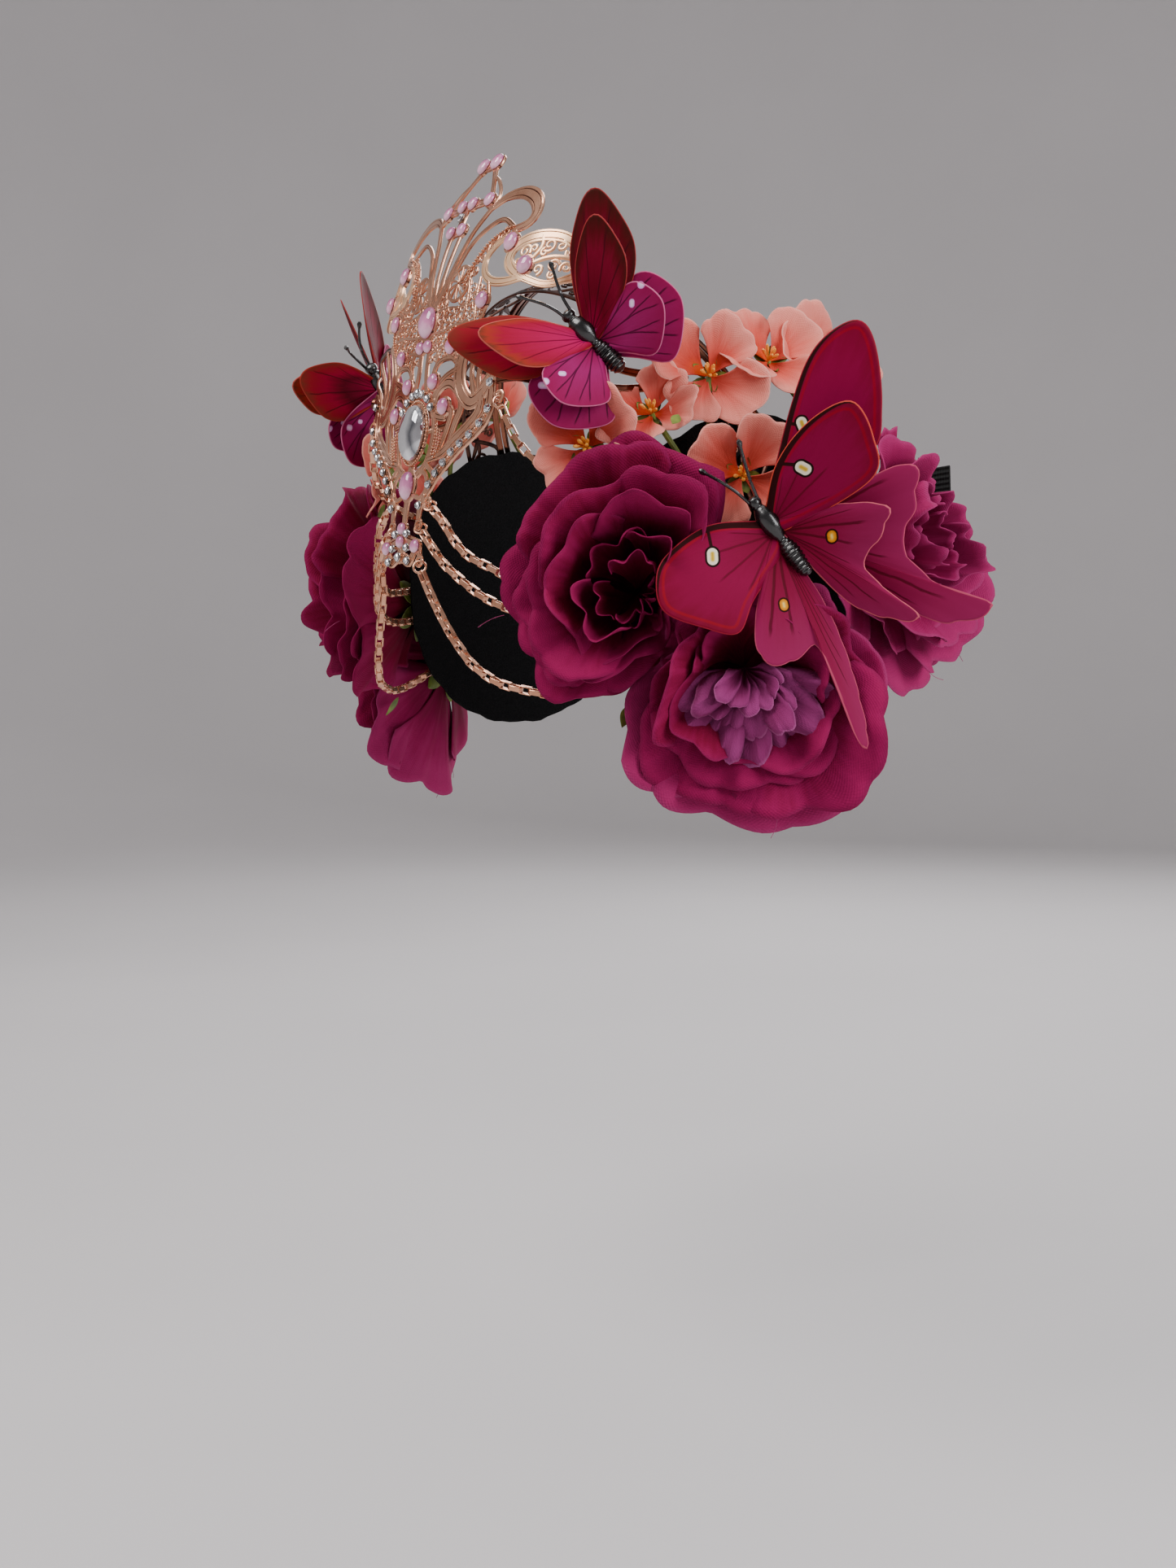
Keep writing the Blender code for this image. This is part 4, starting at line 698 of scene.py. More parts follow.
# The net's curls: pitch, share of it between rows, and lowest and highest places of a middle
NET_PITCH = 3.1
NET_ROW_SHARE = 0.9
NET_UP = (50.4, 72)
NET_ACROSS = (4.2, 29)
NET_EDGE = np.array([(50, 22.5), (54, 24.5), (58, 27.0), (62, 28.3), (66, 28.6), (70, 26.5),
                     (72, 22.0)])
NET_EDGE_ROOM = 0.8
NET_CURL = 1.75
NET_TURNS = 1.15
# Two factors and a size that scramble a place into a first angle, the same in each run
SCRAMBLE = (12.9898, 78.233, 43758.5)
DISC_MIDDLE = (12.5, 73.0)
DISC_RADIUS = 5.4
DISC_WIDTH = 1.3
DISC_ROOM = 1.6
DISC_SPOKES = 10
DISC_LEAN = 0.35
SPOKE_WIDTHS = (0.55, 0.5)
# The outer band's curls: the band's middle line, pitch, shift to either side, radius, turns
RIM_LINE = [(17.5, 72.5, 1), (20, 79, 1), (24, 83.5, 1), (28, 86, 1), (32, 87, 1)]
RIM_PITCH = 2.3
RIM_SHIFT = 0.56
RIM_CURL = 1.5
RIM_TURNS = 1.1
RIM_TURN_STEP = 0.37


def net_curls():
    """Curl centres on a staggered lattice inside the net, clear of the disc and the middle."""
    up, across = np.mgrid[NET_UP[0]:NET_UP[1]:NET_PITCH * NET_ROW_SHARE,
                          NET_ACROSS[0]:NET_ACROSS[1]:NET_PITCH]
    across = across + NET_PITCH / 2 * (np.arange(len(across))[:, None] % 2)
    edge = np.interp(up, NET_EDGE[:, 0], NET_EDGE[:, 1])
    from_disc = np.hypot(across - DISC_MIDDLE[0], up - DISC_MIDDLE[1])
    kept = (across < edge - NET_EDGE_ROOM) & (from_disc > DISC_RADIUS + DISC_ROOM)
    across, up = across[kept], up[kept]
    start = (np.sin(across * SCRAMBLE[0] + up * SCRAMBLE[1]) * SCRAMBLE[2]) % 1.0
    turns = np.where((np.arange(len(across)) % 2) == 0, NET_TURNS, -NET_TURNS)
    return np.column_stack([across, up, np.full(len(across), NET_CURL), start, turns])


def band_curls():
    """Two staggered rows of small curls along the crest's outer band."""
    line = smooth_line(RIM_LINE, RIM_PITCH)
    count = len(line)
    shift = np.where(np.arange(count) % 2 == 0, RIM_SHIFT, -RIM_SHIFT)
    start = np.arange(count) * RIM_TURN_STEP % 1.0
    return np.column_stack([line[:, 0] + shift, line[:, 1] - shift, np.full(count, RIM_CURL),
                            start, np.full(count, RIM_TURNS)])


def ring_line(middle, radius, width, count):
    """A circle as a line: (x + r cos, y + r sin, width) of count even turns."""
    turn = np.linspace(0, 2 * math.pi, count)
    return np.stack([middle[0] + radius * np.cos(turn), middle[1] + radius * np.sin(turn),
                     np.full(count, width)], 1)


def disc_strips():
    """A ring with curved spokes, as a little wheel: angle = spoke + lean share, reach = r share."""
    x, y = DISC_MIDDLE
    out = [strip(ring_line(DISC_MIDDLE, DISC_RADIUS, DISC_WIDTH, 49), wing_place, SOFT)]
    share = np.linspace(0.12, 0.97, 8)
    for spoke in range(DISC_SPOKES):
        angle = 2 * math.pi * spoke / DISC_SPOKES + DISC_LEAN * share
        reach = DISC_RADIUS * share
        line = np.stack([x + reach * np.cos(angle), y + reach * np.sin(angle),
                         SPOKE_WIDTHS[0] + SPOKE_WIDTHS[1] * share], 1)
        out.append(strip(line, wing_place, SOFT, CURL_WALL, 0.04 + CURL_LIFT * (spoke % 3)))
    return out


print("net curls:", len(net_curls()), "outer band curls:", len(band_curls()))


# %% [markdown]
# ## Round things on the metal
# Seats, beads, cups, crystals and cabochons could each be a sphere or a cylinder moved into
# place, but then they wouldn't bend with the plate. So all are one shape: a profile of share
# of the radius and height, turned round a centre on the flat plate and bent with it. Facets
# come from few sides and flat shading, domes from many sides.


# %% Turned shapes on the plate
def domes(rows, profile, sides, place, turn=0.0):
    """Copies at rows of (across, up, half width, half height) of a profile of (share, height):
    a point = centre + half size share (cos, sin), and u, v = 0.5 + 0.5 share (cos, sin)."""
    rows = np.asarray(rows, float)
    profile = np.asarray(profile, float)
    angle = 2 * math.pi * (np.arange(sides) + turn) / sides
    share = profile[:, 0][None, :, None]
    x = rows[:, 0, None, None] + rows[:, 2, None, None] * share * np.cos(angle)
    y = rows[:, 1, None, None] + rows[:, 3, None, None] * share * np.sin(angle)
    height = np.broadcast_to(profile[:, 1][None, :, None], x.shape)
    u = 0.5 + 0.5 * share * np.cos(angle)
    v = 0.5 + 0.5 * share * np.sin(angle)
    return patch(place(x, y, height), u, v, around=True)


def copied(rows, size):
    """Rows of places on the left with one size, for domes."""
    rows = np.asarray(rows, float)
    return np.column_stack([rows, np.full((len(rows), 2), size)])


SEAT = [(0, -0.5), (0.96, -0.5), (1.0, -0.1), (1.0, 0.3), (0.95, 0.47), (0, 0.47)]
BEAD = [(0, 0.1), (0.8, 0.3), (1.0, 0.62), (0.72, 0.98), (0, 1.12)]
CUP = [(0, 0.2), (0.62, 0.2), (0.74, 0.6), (1.0, 1.15), (0.94, 1.26), (0.84, 1.2), (0.6, 0.9),
       (0, 0.85)]
CUT = [(0, 0.95), (0.7, 1.0), (1.0, 1.42), (1.0, 1.52), (0.82, 1.88), (0.56, 2.12), (0, 2.12)]
BOSS = [(0, -0.5), (1, -0.4), (1, 0.9), (0.75, 1.7), (0, 2.0)]
print("profiles:", {"seat": len(SEAT), "bead": len(BEAD), "cup": len(CUP), "cut": len(CUT)})

# %% Where the stones, crystals and beads sit
# Across, up, half width, half height and height of each oval stone
LARGE_STONES = {"clear_oval": (0.0, 27.0, 6.5, 9.0, 4.2),
                "pink_oval_upper": (0.0, 62.0, 4.0, 5.0, 2.8),
                "pink_oval_lower": (0.0, 10.4, 3.3, 4.5, 2.5)}
SIDE_STONES = [
    (33.5, 82.8, 2.4, 2.8, 1.9), (42.5, 74.4, 2.5, 2.8, 1.9), (27.5, 65.5, 2.3, 2.6, 1.8),
    (15.7, 52.6, 2.1, 2.4, 1.8), (8.2, 42.5, 2.2, 2.5, 1.8), (15.5, 34.0, 2.2, 2.6, 1.8)]
# Across, up, radius and height of each small round stone
SET_STONES = [
    (4.1, 114.5, 2.5, 1.8), (12.8, 100.0, 2.1, 1.6), (3.2, 100.4, 2.0, 1.6), (3.4, 91.7, 2.0, 1.6),
    (2.4, 54.2, 2.0, 1.6), (9.2, -9.1, 2.1, 1.6)]
MIDDLE_SET_STONES = [(0.0, -3.2, 1.9, 1.6), (0.0, -7.4, 1.9, 1.6)]
FROND_BOSS = [(50.0, 42.4, 2.1, 2.1)]
SIDE_CRYSTALS = [
    (36.9, 39.4), (37.2, 31.4), (34.4, 27.2), (30.4, 24.0), (26.6, 21.6), (22.8, 19.2),
    (19.4, 16.2), (16.0, 13.2), (13.0, 9.8), (8.9, 3.6), (3.7, -4.9), (4.6, -9.4), (6.0, -13.6)]
CROWN_CRYSTALS = [(2.9, 39.0), (6.4, 37.2), (9.0, 34.4)]
MIDDLE_CRYSTALS = [(0.0, 96.0), (0.0, 39.6), (0.0, -12.2)]
# Places, pitch and radius of each line of beads, and the ring round the clear stone
BEAD_LINES = {
    "beside_oval_a": ([(12.9, 28.5), (13.0, 24), (12.0, 19.5)], 1.0, 0.42),
    "beside_oval_b": ([(14.2, 27), (14.2, 23), (13.2, 18.5)], 1.0, 0.42),
    "beside_oval_c": ([(15.6, 26.5), (15.4, 23), (14.6, 20.0)], 1.0, 0.38),
    "band_rim": ([(16.2, 72), (18.4, 79), (23.2, 84.6), (28.5, 87.2), (32, 88)], 1.1, 0.36),
    "side_rim": ([(27, 70), (28.3, 66), (27.2, 61), (23.2, 55)], 1.1, 0.36),
}
OVAL_BEADS = 52
OVAL_BEAD_HALF = (7.7, 10.2)
OVAL_BEAD_RADIUS = 0.42
BORDER_BEAD_RADIUS = 0.55


def between(rows):
    """Places halfway between neighbours of a row of crystals."""
    rows = np.asarray(rows, float)
    return (rows[1:] + rows[:-1]) / 2


def bead_rows():
    """All small beads of the left half, as rows for domes."""
    out = [copied(smooth_line(rows, pitch), radius) for rows, pitch, radius in BEAD_LINES.values()]
    out.append(copied(between(SIDE_CRYSTALS[1:10]), BORDER_BEAD_RADIUS))
    turn = circle(OVAL_BEADS)
    middle_up = LARGE_STONES["clear_oval"][1]
    ring = np.stack([OVAL_BEAD_HALF[0] * np.cos(turn),
                     middle_up + OVAL_BEAD_HALF[1] * np.sin(turn)], 1)
    out.append(copied(ring, OVAL_BEAD_RADIUS))
    return np.vstack(out)


print("beads on the left half:", len(bead_rows()))

# %% Jump ring tabs
# The middle of each tab's eye, and where its tie leaves the plate
TABS = {"chain_1": (40.6, 35.0), "chain_2": (12.2, 4.6), "chain_3": (8.6, -2.2),
        "chain_4": (11.6, -13.8)}
TAB_LINKS = {"chain_1": (37.4, 36.0), "chain_2": (9.6, 5.6), "chain_3": (8.4, 0.4),
             "chain_4": (11.0, -11.6)}
TAB_RADIUS = 1.5
TAB_WIDTH = 1.1
TIE_WIDTHS = (1.7, 1.6, 1.6)


def tab_strips():
    """A flat eye for each chain, tied to the plate."""
    out = []
    for name, (x, y) in TABS.items():
        out.append(strip(ring_line((x, y), TAB_RADIUS, TAB_WIDTH, 25), wing_place, SOFT))
        start = np.array(TAB_LINKS[name])
        way = np.array((x, y)) - start
        reach = np.linalg.norm(way)
        end = start + way * (reach - TAB_RADIUS) / reach
        tie = np.column_stack([[start, (start + end) / 2, end], TIE_WIDTHS])
        out.append(strip(tie, wing_place, SOFT))
    return out


print("tabs:", list(TABS))

# %% Make the crest
# How far the rim of a seat stands out round a large, a side and a small round stone
LARGE_RIM = 1.0
SIDE_RIM = 0.7
ROUND_RIM = 0.35
PALE_CURL_WIDTH = 1.15
NET_CURL_WIDTH = 0.72
RIM_CURL_WIDTH = 0.7


def seats(ovals, rim, rounds):
    """Rows for domes: each stone's place, and its half sizes with a rim."""
    rows = [(x, y, half_x + rim, half_y + rim) for x, y, half_x, half_y, _ in ovals]
    return rows + [(x, y, radius + ROUND_RIM, radius + ROUND_RIM) for x, y, radius, _ in rounds]


left = strips(CURLS.values()) + tab_strips()
left.append(domes(seats(SIDE_STONES, SIDE_RIM, SET_STONES), SEAT, 24, wing_place))
middle = strips(MIDDLE_CURLS.values())
middle_seats = seats(LARGE_STONES.values(), LARGE_RIM, MIDDLE_SET_STONES)
middle.append(domes(middle_seats, SEAT, 32, wing_place))
piece("crest_scrolls", left + mirrored(left) + middle, [ROSE_GOLD], ["crest_plate"])

# The pale scroll takes the rose gold with painted light
pale = strips(SCROLL.values()) + spiral_strips(SCROLL_CURLS, PALE_CURL_WIDTH, wing_place, 0.03)
piece("scrolls_painted_light", pale + mirrored(pale), [GOLD_PAINTED_LIGHT])

rails = strips(RAILS.values()) + [domes(FROND_BOSS, BOSS, 20, wing_place)]
piece("crest_rails", rails + mirrored(rails), [BROWN_COPPER])

net = strips(NET) + disc_strips() + spiral_strips(net_curls(), NET_CURL_WIDTH, wing_place, 0.05)
net += spiral_strips(band_curls(), RIM_CURL_WIDTH, wing_place, 0.05)
piece("crest_net", net + mirrored(net), [ROSE_GOLD])

beads = [domes(bead_rows(), BEAD, 8, wing_place)]
piece("crest_beads", beads + mirrored(beads), [ROSE_GOLD], crisp=80)

# %% [markdown]
# ## Stones
# The pink stones are milky glass domes with a foil behind them, paler towards the bottom of
# each stone and deeper towards the top. The large clear stone mirrors the room, so it is smooth
# and foil-bright, with that reflection painted on as light and dark bands.
# Real see-through glass would show the seat behind it and take long to render, so each stone
# is a glossy coat over the colours that it shows. The small crystals are cut glass in silver
# cups, with a table and two rings of facets.


# %% Stone finishes
def pink_glass():
    """Milky glass: swirls, paler towards the bottom of the stone and deeper towards the top."""
    made, tree, shader = material("pink_glass_dome", 0.10, Coat_Weight=1.0, Coat_Roughness=0.03,
                                  Specular_IOR_Level=0.6)
    _, up = surface(tree)
    swirl = noise(tree, 420.0, detail=4.0)
    level = maths(tree, "MULTIPLY_ADD", swirl, 0.5, maths(tree, "SUBTRACT", up, 0.25))
    colour_in(tree, shader, ramp(tree, level, [
        (0.15, (242, 190, 216)), (0.45, (212, 132, 176)), (0.85, (164, 84, 132))]))
    return made


def clear_glass():
    """Foil behind clear glass, with a painted reflection: light and dark bands from side to side.
    """
    made, tree, shader = material("clear_glass_painted_reflection", 0.07, 0.85, Coat_Weight=1.0,
                                  Coat_Roughness=0.02)
    across, _ = surface(tree)
    cloud = noise(tree, 160.0)
    wave = maths(tree, "MULTIPLY_ADD", cloud, 0.2, maths(tree, "SUBTRACT", across, 0.1))
    colour_in(tree, shader, ramp(tree, wave, [
        (0.05, (160, 162, 166)), (0.35, (224, 226, 230)), (0.62, (240, 241, 244)),
        (0.80, (104, 107, 114)), (0.90, (205, 206, 210))]))
    return made


def crystal_glass():
    """Cut glass on foil: bright, with dark glints."""
    made, tree, shader = material("cut_crystal", 0.04, 0.9, Coat_Weight=1.0, Coat_Roughness=0.02)
    colour_in(tree, shader, ramp(tree, noise(tree, 1500.0, detail=1.0), [
        (0.35, (120, 122, 128)), (0.5, (225, 226, 230)), (0.65, (250, 250, 252))]))
    return made


PINK_GLASS = pink_glass()
CLEAR_GLASS = clear_glass()
CRYSTAL_GLASS = crystal_glass()
print("stone finishes:", PINK_GLASS.name, CLEAR_GLASS.name, CRYSTAL_GLASS.name)

# %% Make the stones
DOME_ANGLE = np.linspace(0, math.pi / 2, 9)
STONE_BASE = PLATE_WALL / 2 + 0.15
GIRDLE = 0.35


def cabochons(rows, sides):
    """Domes at rows of (across, up, half width, half height, height): a short girdle, then
    share = cos(a) to the 0.8 and height = sin(a) times the dome."""
    share, rise = np.cos(DOME_ANGLE) ** 0.8, np.sin(DOME_ANGLE)
    share[-1] = 0.0
    foot = [(0, STONE_BASE), (0.93, STONE_BASE), (1.0, STONE_BASE + 0.25)]
    return [domes([row[:4]], foot + list(zip(share, STONE_BASE + GIRDLE
                                             + (row[4] - GIRDLE) * rise)), sides, wing_place)
            for row in rows]


def rounds(rows):
    """Rows of round stones as rows for cabochons."""
    return [(x, y, radius, radius, height) for x, y, radius, height in rows]


pink_side = cabochons(SIDE_STONES, 28) + cabochons(rounds(SET_STONES), 24)
pink_middle = cabochons(rounds(MIDDLE_SET_STONES), 24)
pink_middle += cabochons([LARGE_STONES["pink_oval_upper"], LARGE_STONES["pink_oval_lower"]], 40)
pink_nodes = [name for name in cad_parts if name.startswith("pink_")]
piece("pink_cabochons", pink_side + mirrored(pink_side) + pink_middle, [PINK_GLASS],
      pink_nodes, crisp=70)
piece("clear_cabochon", cabochons([LARGE_STONES["clear_oval"]], 56), [CLEAR_GLASS],
      ["clear_oval"], crisp=70)

# %% Make the crystals and their cups
# Radius of a cup and of its crystal, on the sides and on the middle line
SIDE_CUP, SIDE_CUT = 1.45, 1.2
MIDDLE_CUP, MIDDLE_CUT = 1.6, 1.35


def crystal_patches(profile, sides, side_radius, middle_radius):
    """The same profile at every crystal, on the left, the right and the middle line."""
    side = [domes(copied(SIDE_CRYSTALS + CROWN_CRYSTALS, side_radius), profile, sides, wing_place)]
    middle = domes(copied(MIDDLE_CRYSTALS, middle_radius), profile, sides, wing_place)
    return side + mirrored(side) + [middle]


piece("crystal_cups", crystal_patches(CUP, 12, SIDE_CUP, MIDDLE_CUP), [SILVER])
piece("crystals", crystal_patches(CUT, 8, SIDE_CUT, MIDDLE_CUT), [CRYSTAL_GLASS],
      crisp=8)

# %% [markdown]
# ## The arched band
# Two copper rails hold a vine that waves between them, with spirals in its hollows and
# teardrop leaves. It could be cut as holes in one curved sheet, but lines are lighter and keep
# their rounded edges. It is drawn flat, as a place along, a place across and a width, and bent
# over the head by `band_place`.

# %% Band lines
VINE_REPEATS = 10
REPEAT = BAND_LENGTH / VINE_REPEATS
BAND_STEP = 1.6
LEAF_STEP = 1.2
# Place across and width of each rail
EDGE_RAIL = (-9.6, 0.9)
UPPER_RAIL = (8.0, 1.9)
WIDE_RAIL = (-6.2, 2.4)
ROUND_RAIL = (-8.6, 1.5)
RAIL_INSET = 0.6
END_BAR_INSET = 0.8
END_BAR = [(-9.0, 1.8), (0, 1.8), (8.4, 1.8)]
VINE_MIDDLE = 1.2
VINE_SWING = 6.6
VINE_LIMITS = (-5.2, 7.8)
VINE_WIDTH = 1.5
# The two leaves of a hollow: places along, places across as seen from the middle, and widths
LEAF_MIDDLE = 1.4
LEAVES_FLAT = [[(0, 0, 0.9), (3.2, 1.6, 1.9), (8.0, 4.8, 0.9)],
               [(0.6, 0, 0.8), (4.5, 0.2, 1.6), (8.6, 1.4, 0.7)]]


def rail_line(across, width):
    """A straight rail from foot to foot."""
    ends = (RAIL_INSET, BAND_LENGTH / 2, BAND_LENGTH - RAIL_INSET)
    return smooth_line([(along, across, width) for along in ends], BAND_STEP)


def vine_line():
    """across = middle + swing sin(2 pi along / repeat), kept between the rails."""
    along = np.arange(1.0, BAND_LENGTH - 0.5, BAND_STEP)
    across = VINE_MIDDLE + VINE_SWING * np.sin(2 * math.pi * along / REPEAT)
    return np.stack([along, np.clip(across, *VINE_LIMITS), np.full(len(along), VINE_WIDTH)], 1)


def leaf_lines():
    """In each repeat two pairs of small leaves that swell in the middle."""
    out = []
    for hollow in range(2 * VINE_REPEATS):
        side = 1 if hollow % 2 == 0 else -1
        along = (hollow // 2) * REPEAT + REPEAT * (0.42 if side > 0 else 0.92)
        middle = VINE_MIDDLE + side * LEAF_MIDDLE
        for leaf in LEAVES_FLAT:
            rows = np.array(leaf) * (1, side, 1) + (along, middle, 0)
            rows[:, 0] = np.clip(rows[:, 0], 1.0, BAND_LENGTH - 1.0)
            out.append(smooth_line(rows, LEAF_STEP))
    return out


def band_spirals():
    """A large and a small spiral in each hollow of the vine, turned the way the vine bends."""
    number = np.arange(VINE_REPEATS * 2)
    along = (number / 2 + 0.25) * REPEAT
    up = number % 2 == 0
    full = np.ones(len(number))
    large = np.column_stack([along, np.where(up, -0.4, 3.4), 3.0 * full,
                             np.where(up, 0.30, 0.80), -1.25 * full])
    small = np.column_stack([along + 4.4, np.where(up, -2.6, 5.2), 1.7 * full,
                             np.where(up, 0.30, 0.80), 1.1 * full])
    return np.vstack([large, small[:-1]])


print("vine repeats:", VINE_REPEATS, "leaves:", len(leaf_lines()), "spirals:", len(band_spirals()))

# %% Make the band
band_parts = [strip(rail_line(*rail), band_place, SOFT) for rail in (EDGE_RAIL, UPPER_RAIL)]
band_parts.append(strip(vine_line(), band_place, SOFT, BAND_WALL, 0.04))
band_parts += [strip(line, band_place, SOFT, CURL_WALL, 0.06 + CURL_LIFT * (number % 3))
               for number, line in enumerate(leaf_lines())]
band_parts += spiral_strips(band_spirals(), PALE_CURL_WIDTH, band_place, 0.03)
for end in (END_BAR_INSET, BAND_LENGTH - END_BAR_INSET):
    bar = smooth_line([(end, across, width) for across, width in END_BAR], 1.5)
    band_parts.append(strip(bar, band_place, SOFT, BAND_WALL, 0.02))
# The band's copper is painted near black for its shade and dark reflections
piece("band_filigree", band_parts, [COPPER_PAINTED_SHADE], ["headband"])
wide_rails = [strip(rail_line(*WIDE_RAIL), band_place, ENGRAVED),
              strip(rail_line(*ROUND_RAIL), band_place, SOFT, BAND_WALL, 0.08)]
piece("band_rails", wide_rails, [BROWN_COPPER])

# %% [markdown]
# ## Felt pads and the elastic strap
# The pads are felt ovals cut with scissors, flat at the temple and falling away with the
# head. The strap is woven elastic with ribs along it, glued behind the pads, and one cut end
# of it stands out at the back of the flowers. Neither hangs or folds, so no cloth simulation
# is needed: the felt is rings of an oval laid on a curved face, and the strap is a flat
# profile carried along a line. Their nap, ribs and threads are fine relief in the finish.

# %% Felt and elastic finishes
PAD_OUTER_X = 77.0
PAD_WALL = 2.0
PAD_MIDDLE = (-8.0, -18.0)
PAD_HALF = (52.0, 50.0)
# The flat part of the felt, and twice the radius at which it falls away sideways, up and down
FLAT_HALF_Y = 10
FLAT_LOW_Z = -27
PAD_BEND_SIDES = 150
PAD_BEND_UP = 170
PAD_BEND_DOWN = 400
STRAP_RIBS = 7


def felt_finish():
    """Black felt with a rough nap."""
    made, tree, shader = material("black_felt_nap", 0.95, Specular_IOR_Level=0.1)
    nap = noise(tree, 1800.0, detail=6.0)
    colour_in(tree, shader, ramp(tree, nap, [(0.3, (7, 7, 8)), (0.7, (22, 22, 23))]))
    bump_in(tree, shader, nap, 0.9, 0.0006)
    return made


def elastic_finish():
    """Ribs along the strap and finer threads across it, as sums of sines."""
    made, tree, shader = material("black_elastic_weave", 0.7, Specular_IOR_Level=0.2)
    along, across = surface(tree)
    ribs = maths(tree, "SINE", times(tree, across, 2 * math.pi * STRAP_RIBS))
    weft = maths(tree, "SINE", times(tree, along, 2 * math.pi * 1.1))
    weave = maths(tree, "MULTIPLY_ADD", weft, 0.35, ribs)
    colour_in(tree, shader, ramp(tree, maths(tree, "MULTIPLY_ADD", weave, 0.3, 0.5), [
        (0.2, (7, 7, 8)), (0.9, (30, 30, 31))]))
    bump_in(tree, shader, weave, 0.8, 0.0004)
    return made


def pad_outer(y, z):
    """How far out the felt lies: flat in its middle, falling away as the square beyond it."""
    return (PAD_OUTER_X - np.maximum(np.abs(y) - FLAT_HALF_Y, 0) ** 2 / PAD_BEND_SIDES
            - np.maximum(z, 0) ** 2 / PAD_BEND_UP
            - np.maximum(FLAT_LOW_Z - z, 0) ** 2 / PAD_BEND_DOWN)


FELT = felt_finish()
ELASTIC = elastic_finish()
print("the felt's outer face is", PAD_OUTER_X, "mm from the middle")

# %% Make the pads
# Rings of a pad: share of the oval, and which face of the felt, from 1 outside to -1 inside
PAD_RINGS = np.array([0, 0.2, 0.4, 0.58, 0.72, 0.84, 0.93, 0.98, 1.0, 1.0, 0.98, 0.93, 0.8, 0.5, 0])
PAD_FACES = np.array([1, 1, 1, 1, 1, 1, 0.98, 0.8, 0.35, -0.35, -0.8, -0.98, -1, -1, -1])
PAD_SIDES = 96


def pad_patch():
    """Rings of an oval out over the face, round the edge and back over the inner face. The
    scissors' edge = 1 + 0.006 sin(17 angle) + 0.005 sin(31 angle + 1)."""
    share, side = PAD_RINGS[:, None], PAD_FACES[:, None]
    angle = circle(PAD_SIDES)
    ragged = 1 + 0.006 * np.sin(17 * angle) + 0.005 * np.sin(31 * angle + 1)
    edge = 1 - (1 - ragged) * share ** 4
    y = PAD_MIDDLE[0] + PAD_HALF[0] * share * edge * np.cos(angle)
    z = PAD_MIDDLE[1] + PAD_HALF[1] * share * edge * np.sin(angle)
    x = pad_outer(y, z) - PAD_WALL / 2 + side * PAD_WALL / 2
    return patch(np.stack([x, y, z], -1), y / 10, z / 10, around=True)


for side_name, patches in both_sides([pad_patch()]):
    pad = piece(f"felt_pad_{side_name}", patches, [FELT], [f"pad_{side_name}"])

# %% Make the strap
STRAP_WIDTH = 13.0
STRAP_WALL = 1.0
STRAP_MIDDLE_Z = 4.0
STRAP_GLUE = 0.6
STRAP_BEHIND_PAD_Y = (20.0, 30.0, 38.0)
STRAP_ROUND_BACK = [(61.5, 54.0, 4.5), (48.0, 72.0, 5.0), (27.0, 86.5, 5.0), (0.0, 92.0, 5.0)]
# The cut end, as steps from where it leaves the strap
TAIL_START = np.array([61.5, 54.0, 7.0])
TAIL_LIFT = 1.8
TAIL_STEPS = [(0, 0, 0), (6, 2, 2), (13, 4.5, 5), (20, 7, 6)]
TAIL_FACE = (0.2, -1.0, 0.15)
TAIL_WIDTH = 12.0
STRAP_PROFILE = np.array([
    (-0.5, -0.3), (-0.5, 0.3), (-0.48, 0.5), (-0.2, 0.5), (0.2, 0.5), (0.48, 0.5), (0.5, 0.3),
    (0.5, -0.3), (0.48, -0.5), (0, -0.5), (-0.48, -0.5)])


def flat_strap(line, out, width):
    """A strap: point = line + up width a + out wall h for each profile point (a, h)."""
    along = unit(np.gradient(line, axis=0))
    out = unit(out - along * np.sum(along * out, 1)[:, None])
    up = np.cross(along, out)
    points = (line[:, None] + up[:, None] * (STRAP_PROFILE[:, :1] * width)
              + out[:, None] * (STRAP_PROFILE[:, 1:] * STRAP_WALL))
    middles = points.mean(1, keepdims=True).repeat(len(STRAP_PROFILE), 1)
    points = np.concatenate([middles[:1], points, middles[-1:]])
    return patch(points, np.arange(len(points))[:, None], STRAP_PROFILE[:, 0] + 0.5, around=True)


strap_rows = []
for back in STRAP_BEHIND_PAD_Y:
    inside = pad_outer(back, STRAP_MIDDLE_Z + STRAP_WIDTH / 2) - PAD_WALL - STRAP_GLUE
    strap_rows.append((inside - STRAP_WALL / 2, back, STRAP_MIDDLE_Z))
half = smooth_line(strap_rows + STRAP_ROUND_BACK, 1.5, 3)
strap_line = np.vstack([half, half[-2::-1] * (-1, 1, 1)])
piece("elastic_strap", [flat_strap(strap_line, strap_line * (1, 1, 0), STRAP_WIDTH)],
      [ELASTIC], ["back_strap"])
tail_start = TAIL_START + unit(TAIL_START * (1, 1, 0)) * TAIL_LIFT
tail = smooth_line(tail_start + np.array(TAIL_STEPS), 1.0, 3)
piece("elastic_cut_end", [flat_strap(tail, np.tile(TAIL_FACE, (len(tail), 1)), TAIL_WIDTH)],
      [ELASTIC], ["strap_tail"])

# %% [markdown]
# ## Box chains and jump rings
# A box chain is a row of flat bars bent into oblongs. Each link stands at a right angle to
# its neighbours, so from the front one reads as an open frame and the next as a plate. One
# link is worked out with chamfered corners, and copies are set along each chain's route at a
# pitch that lets every link hold the next one. A round jump ring ties each chain to its eye.

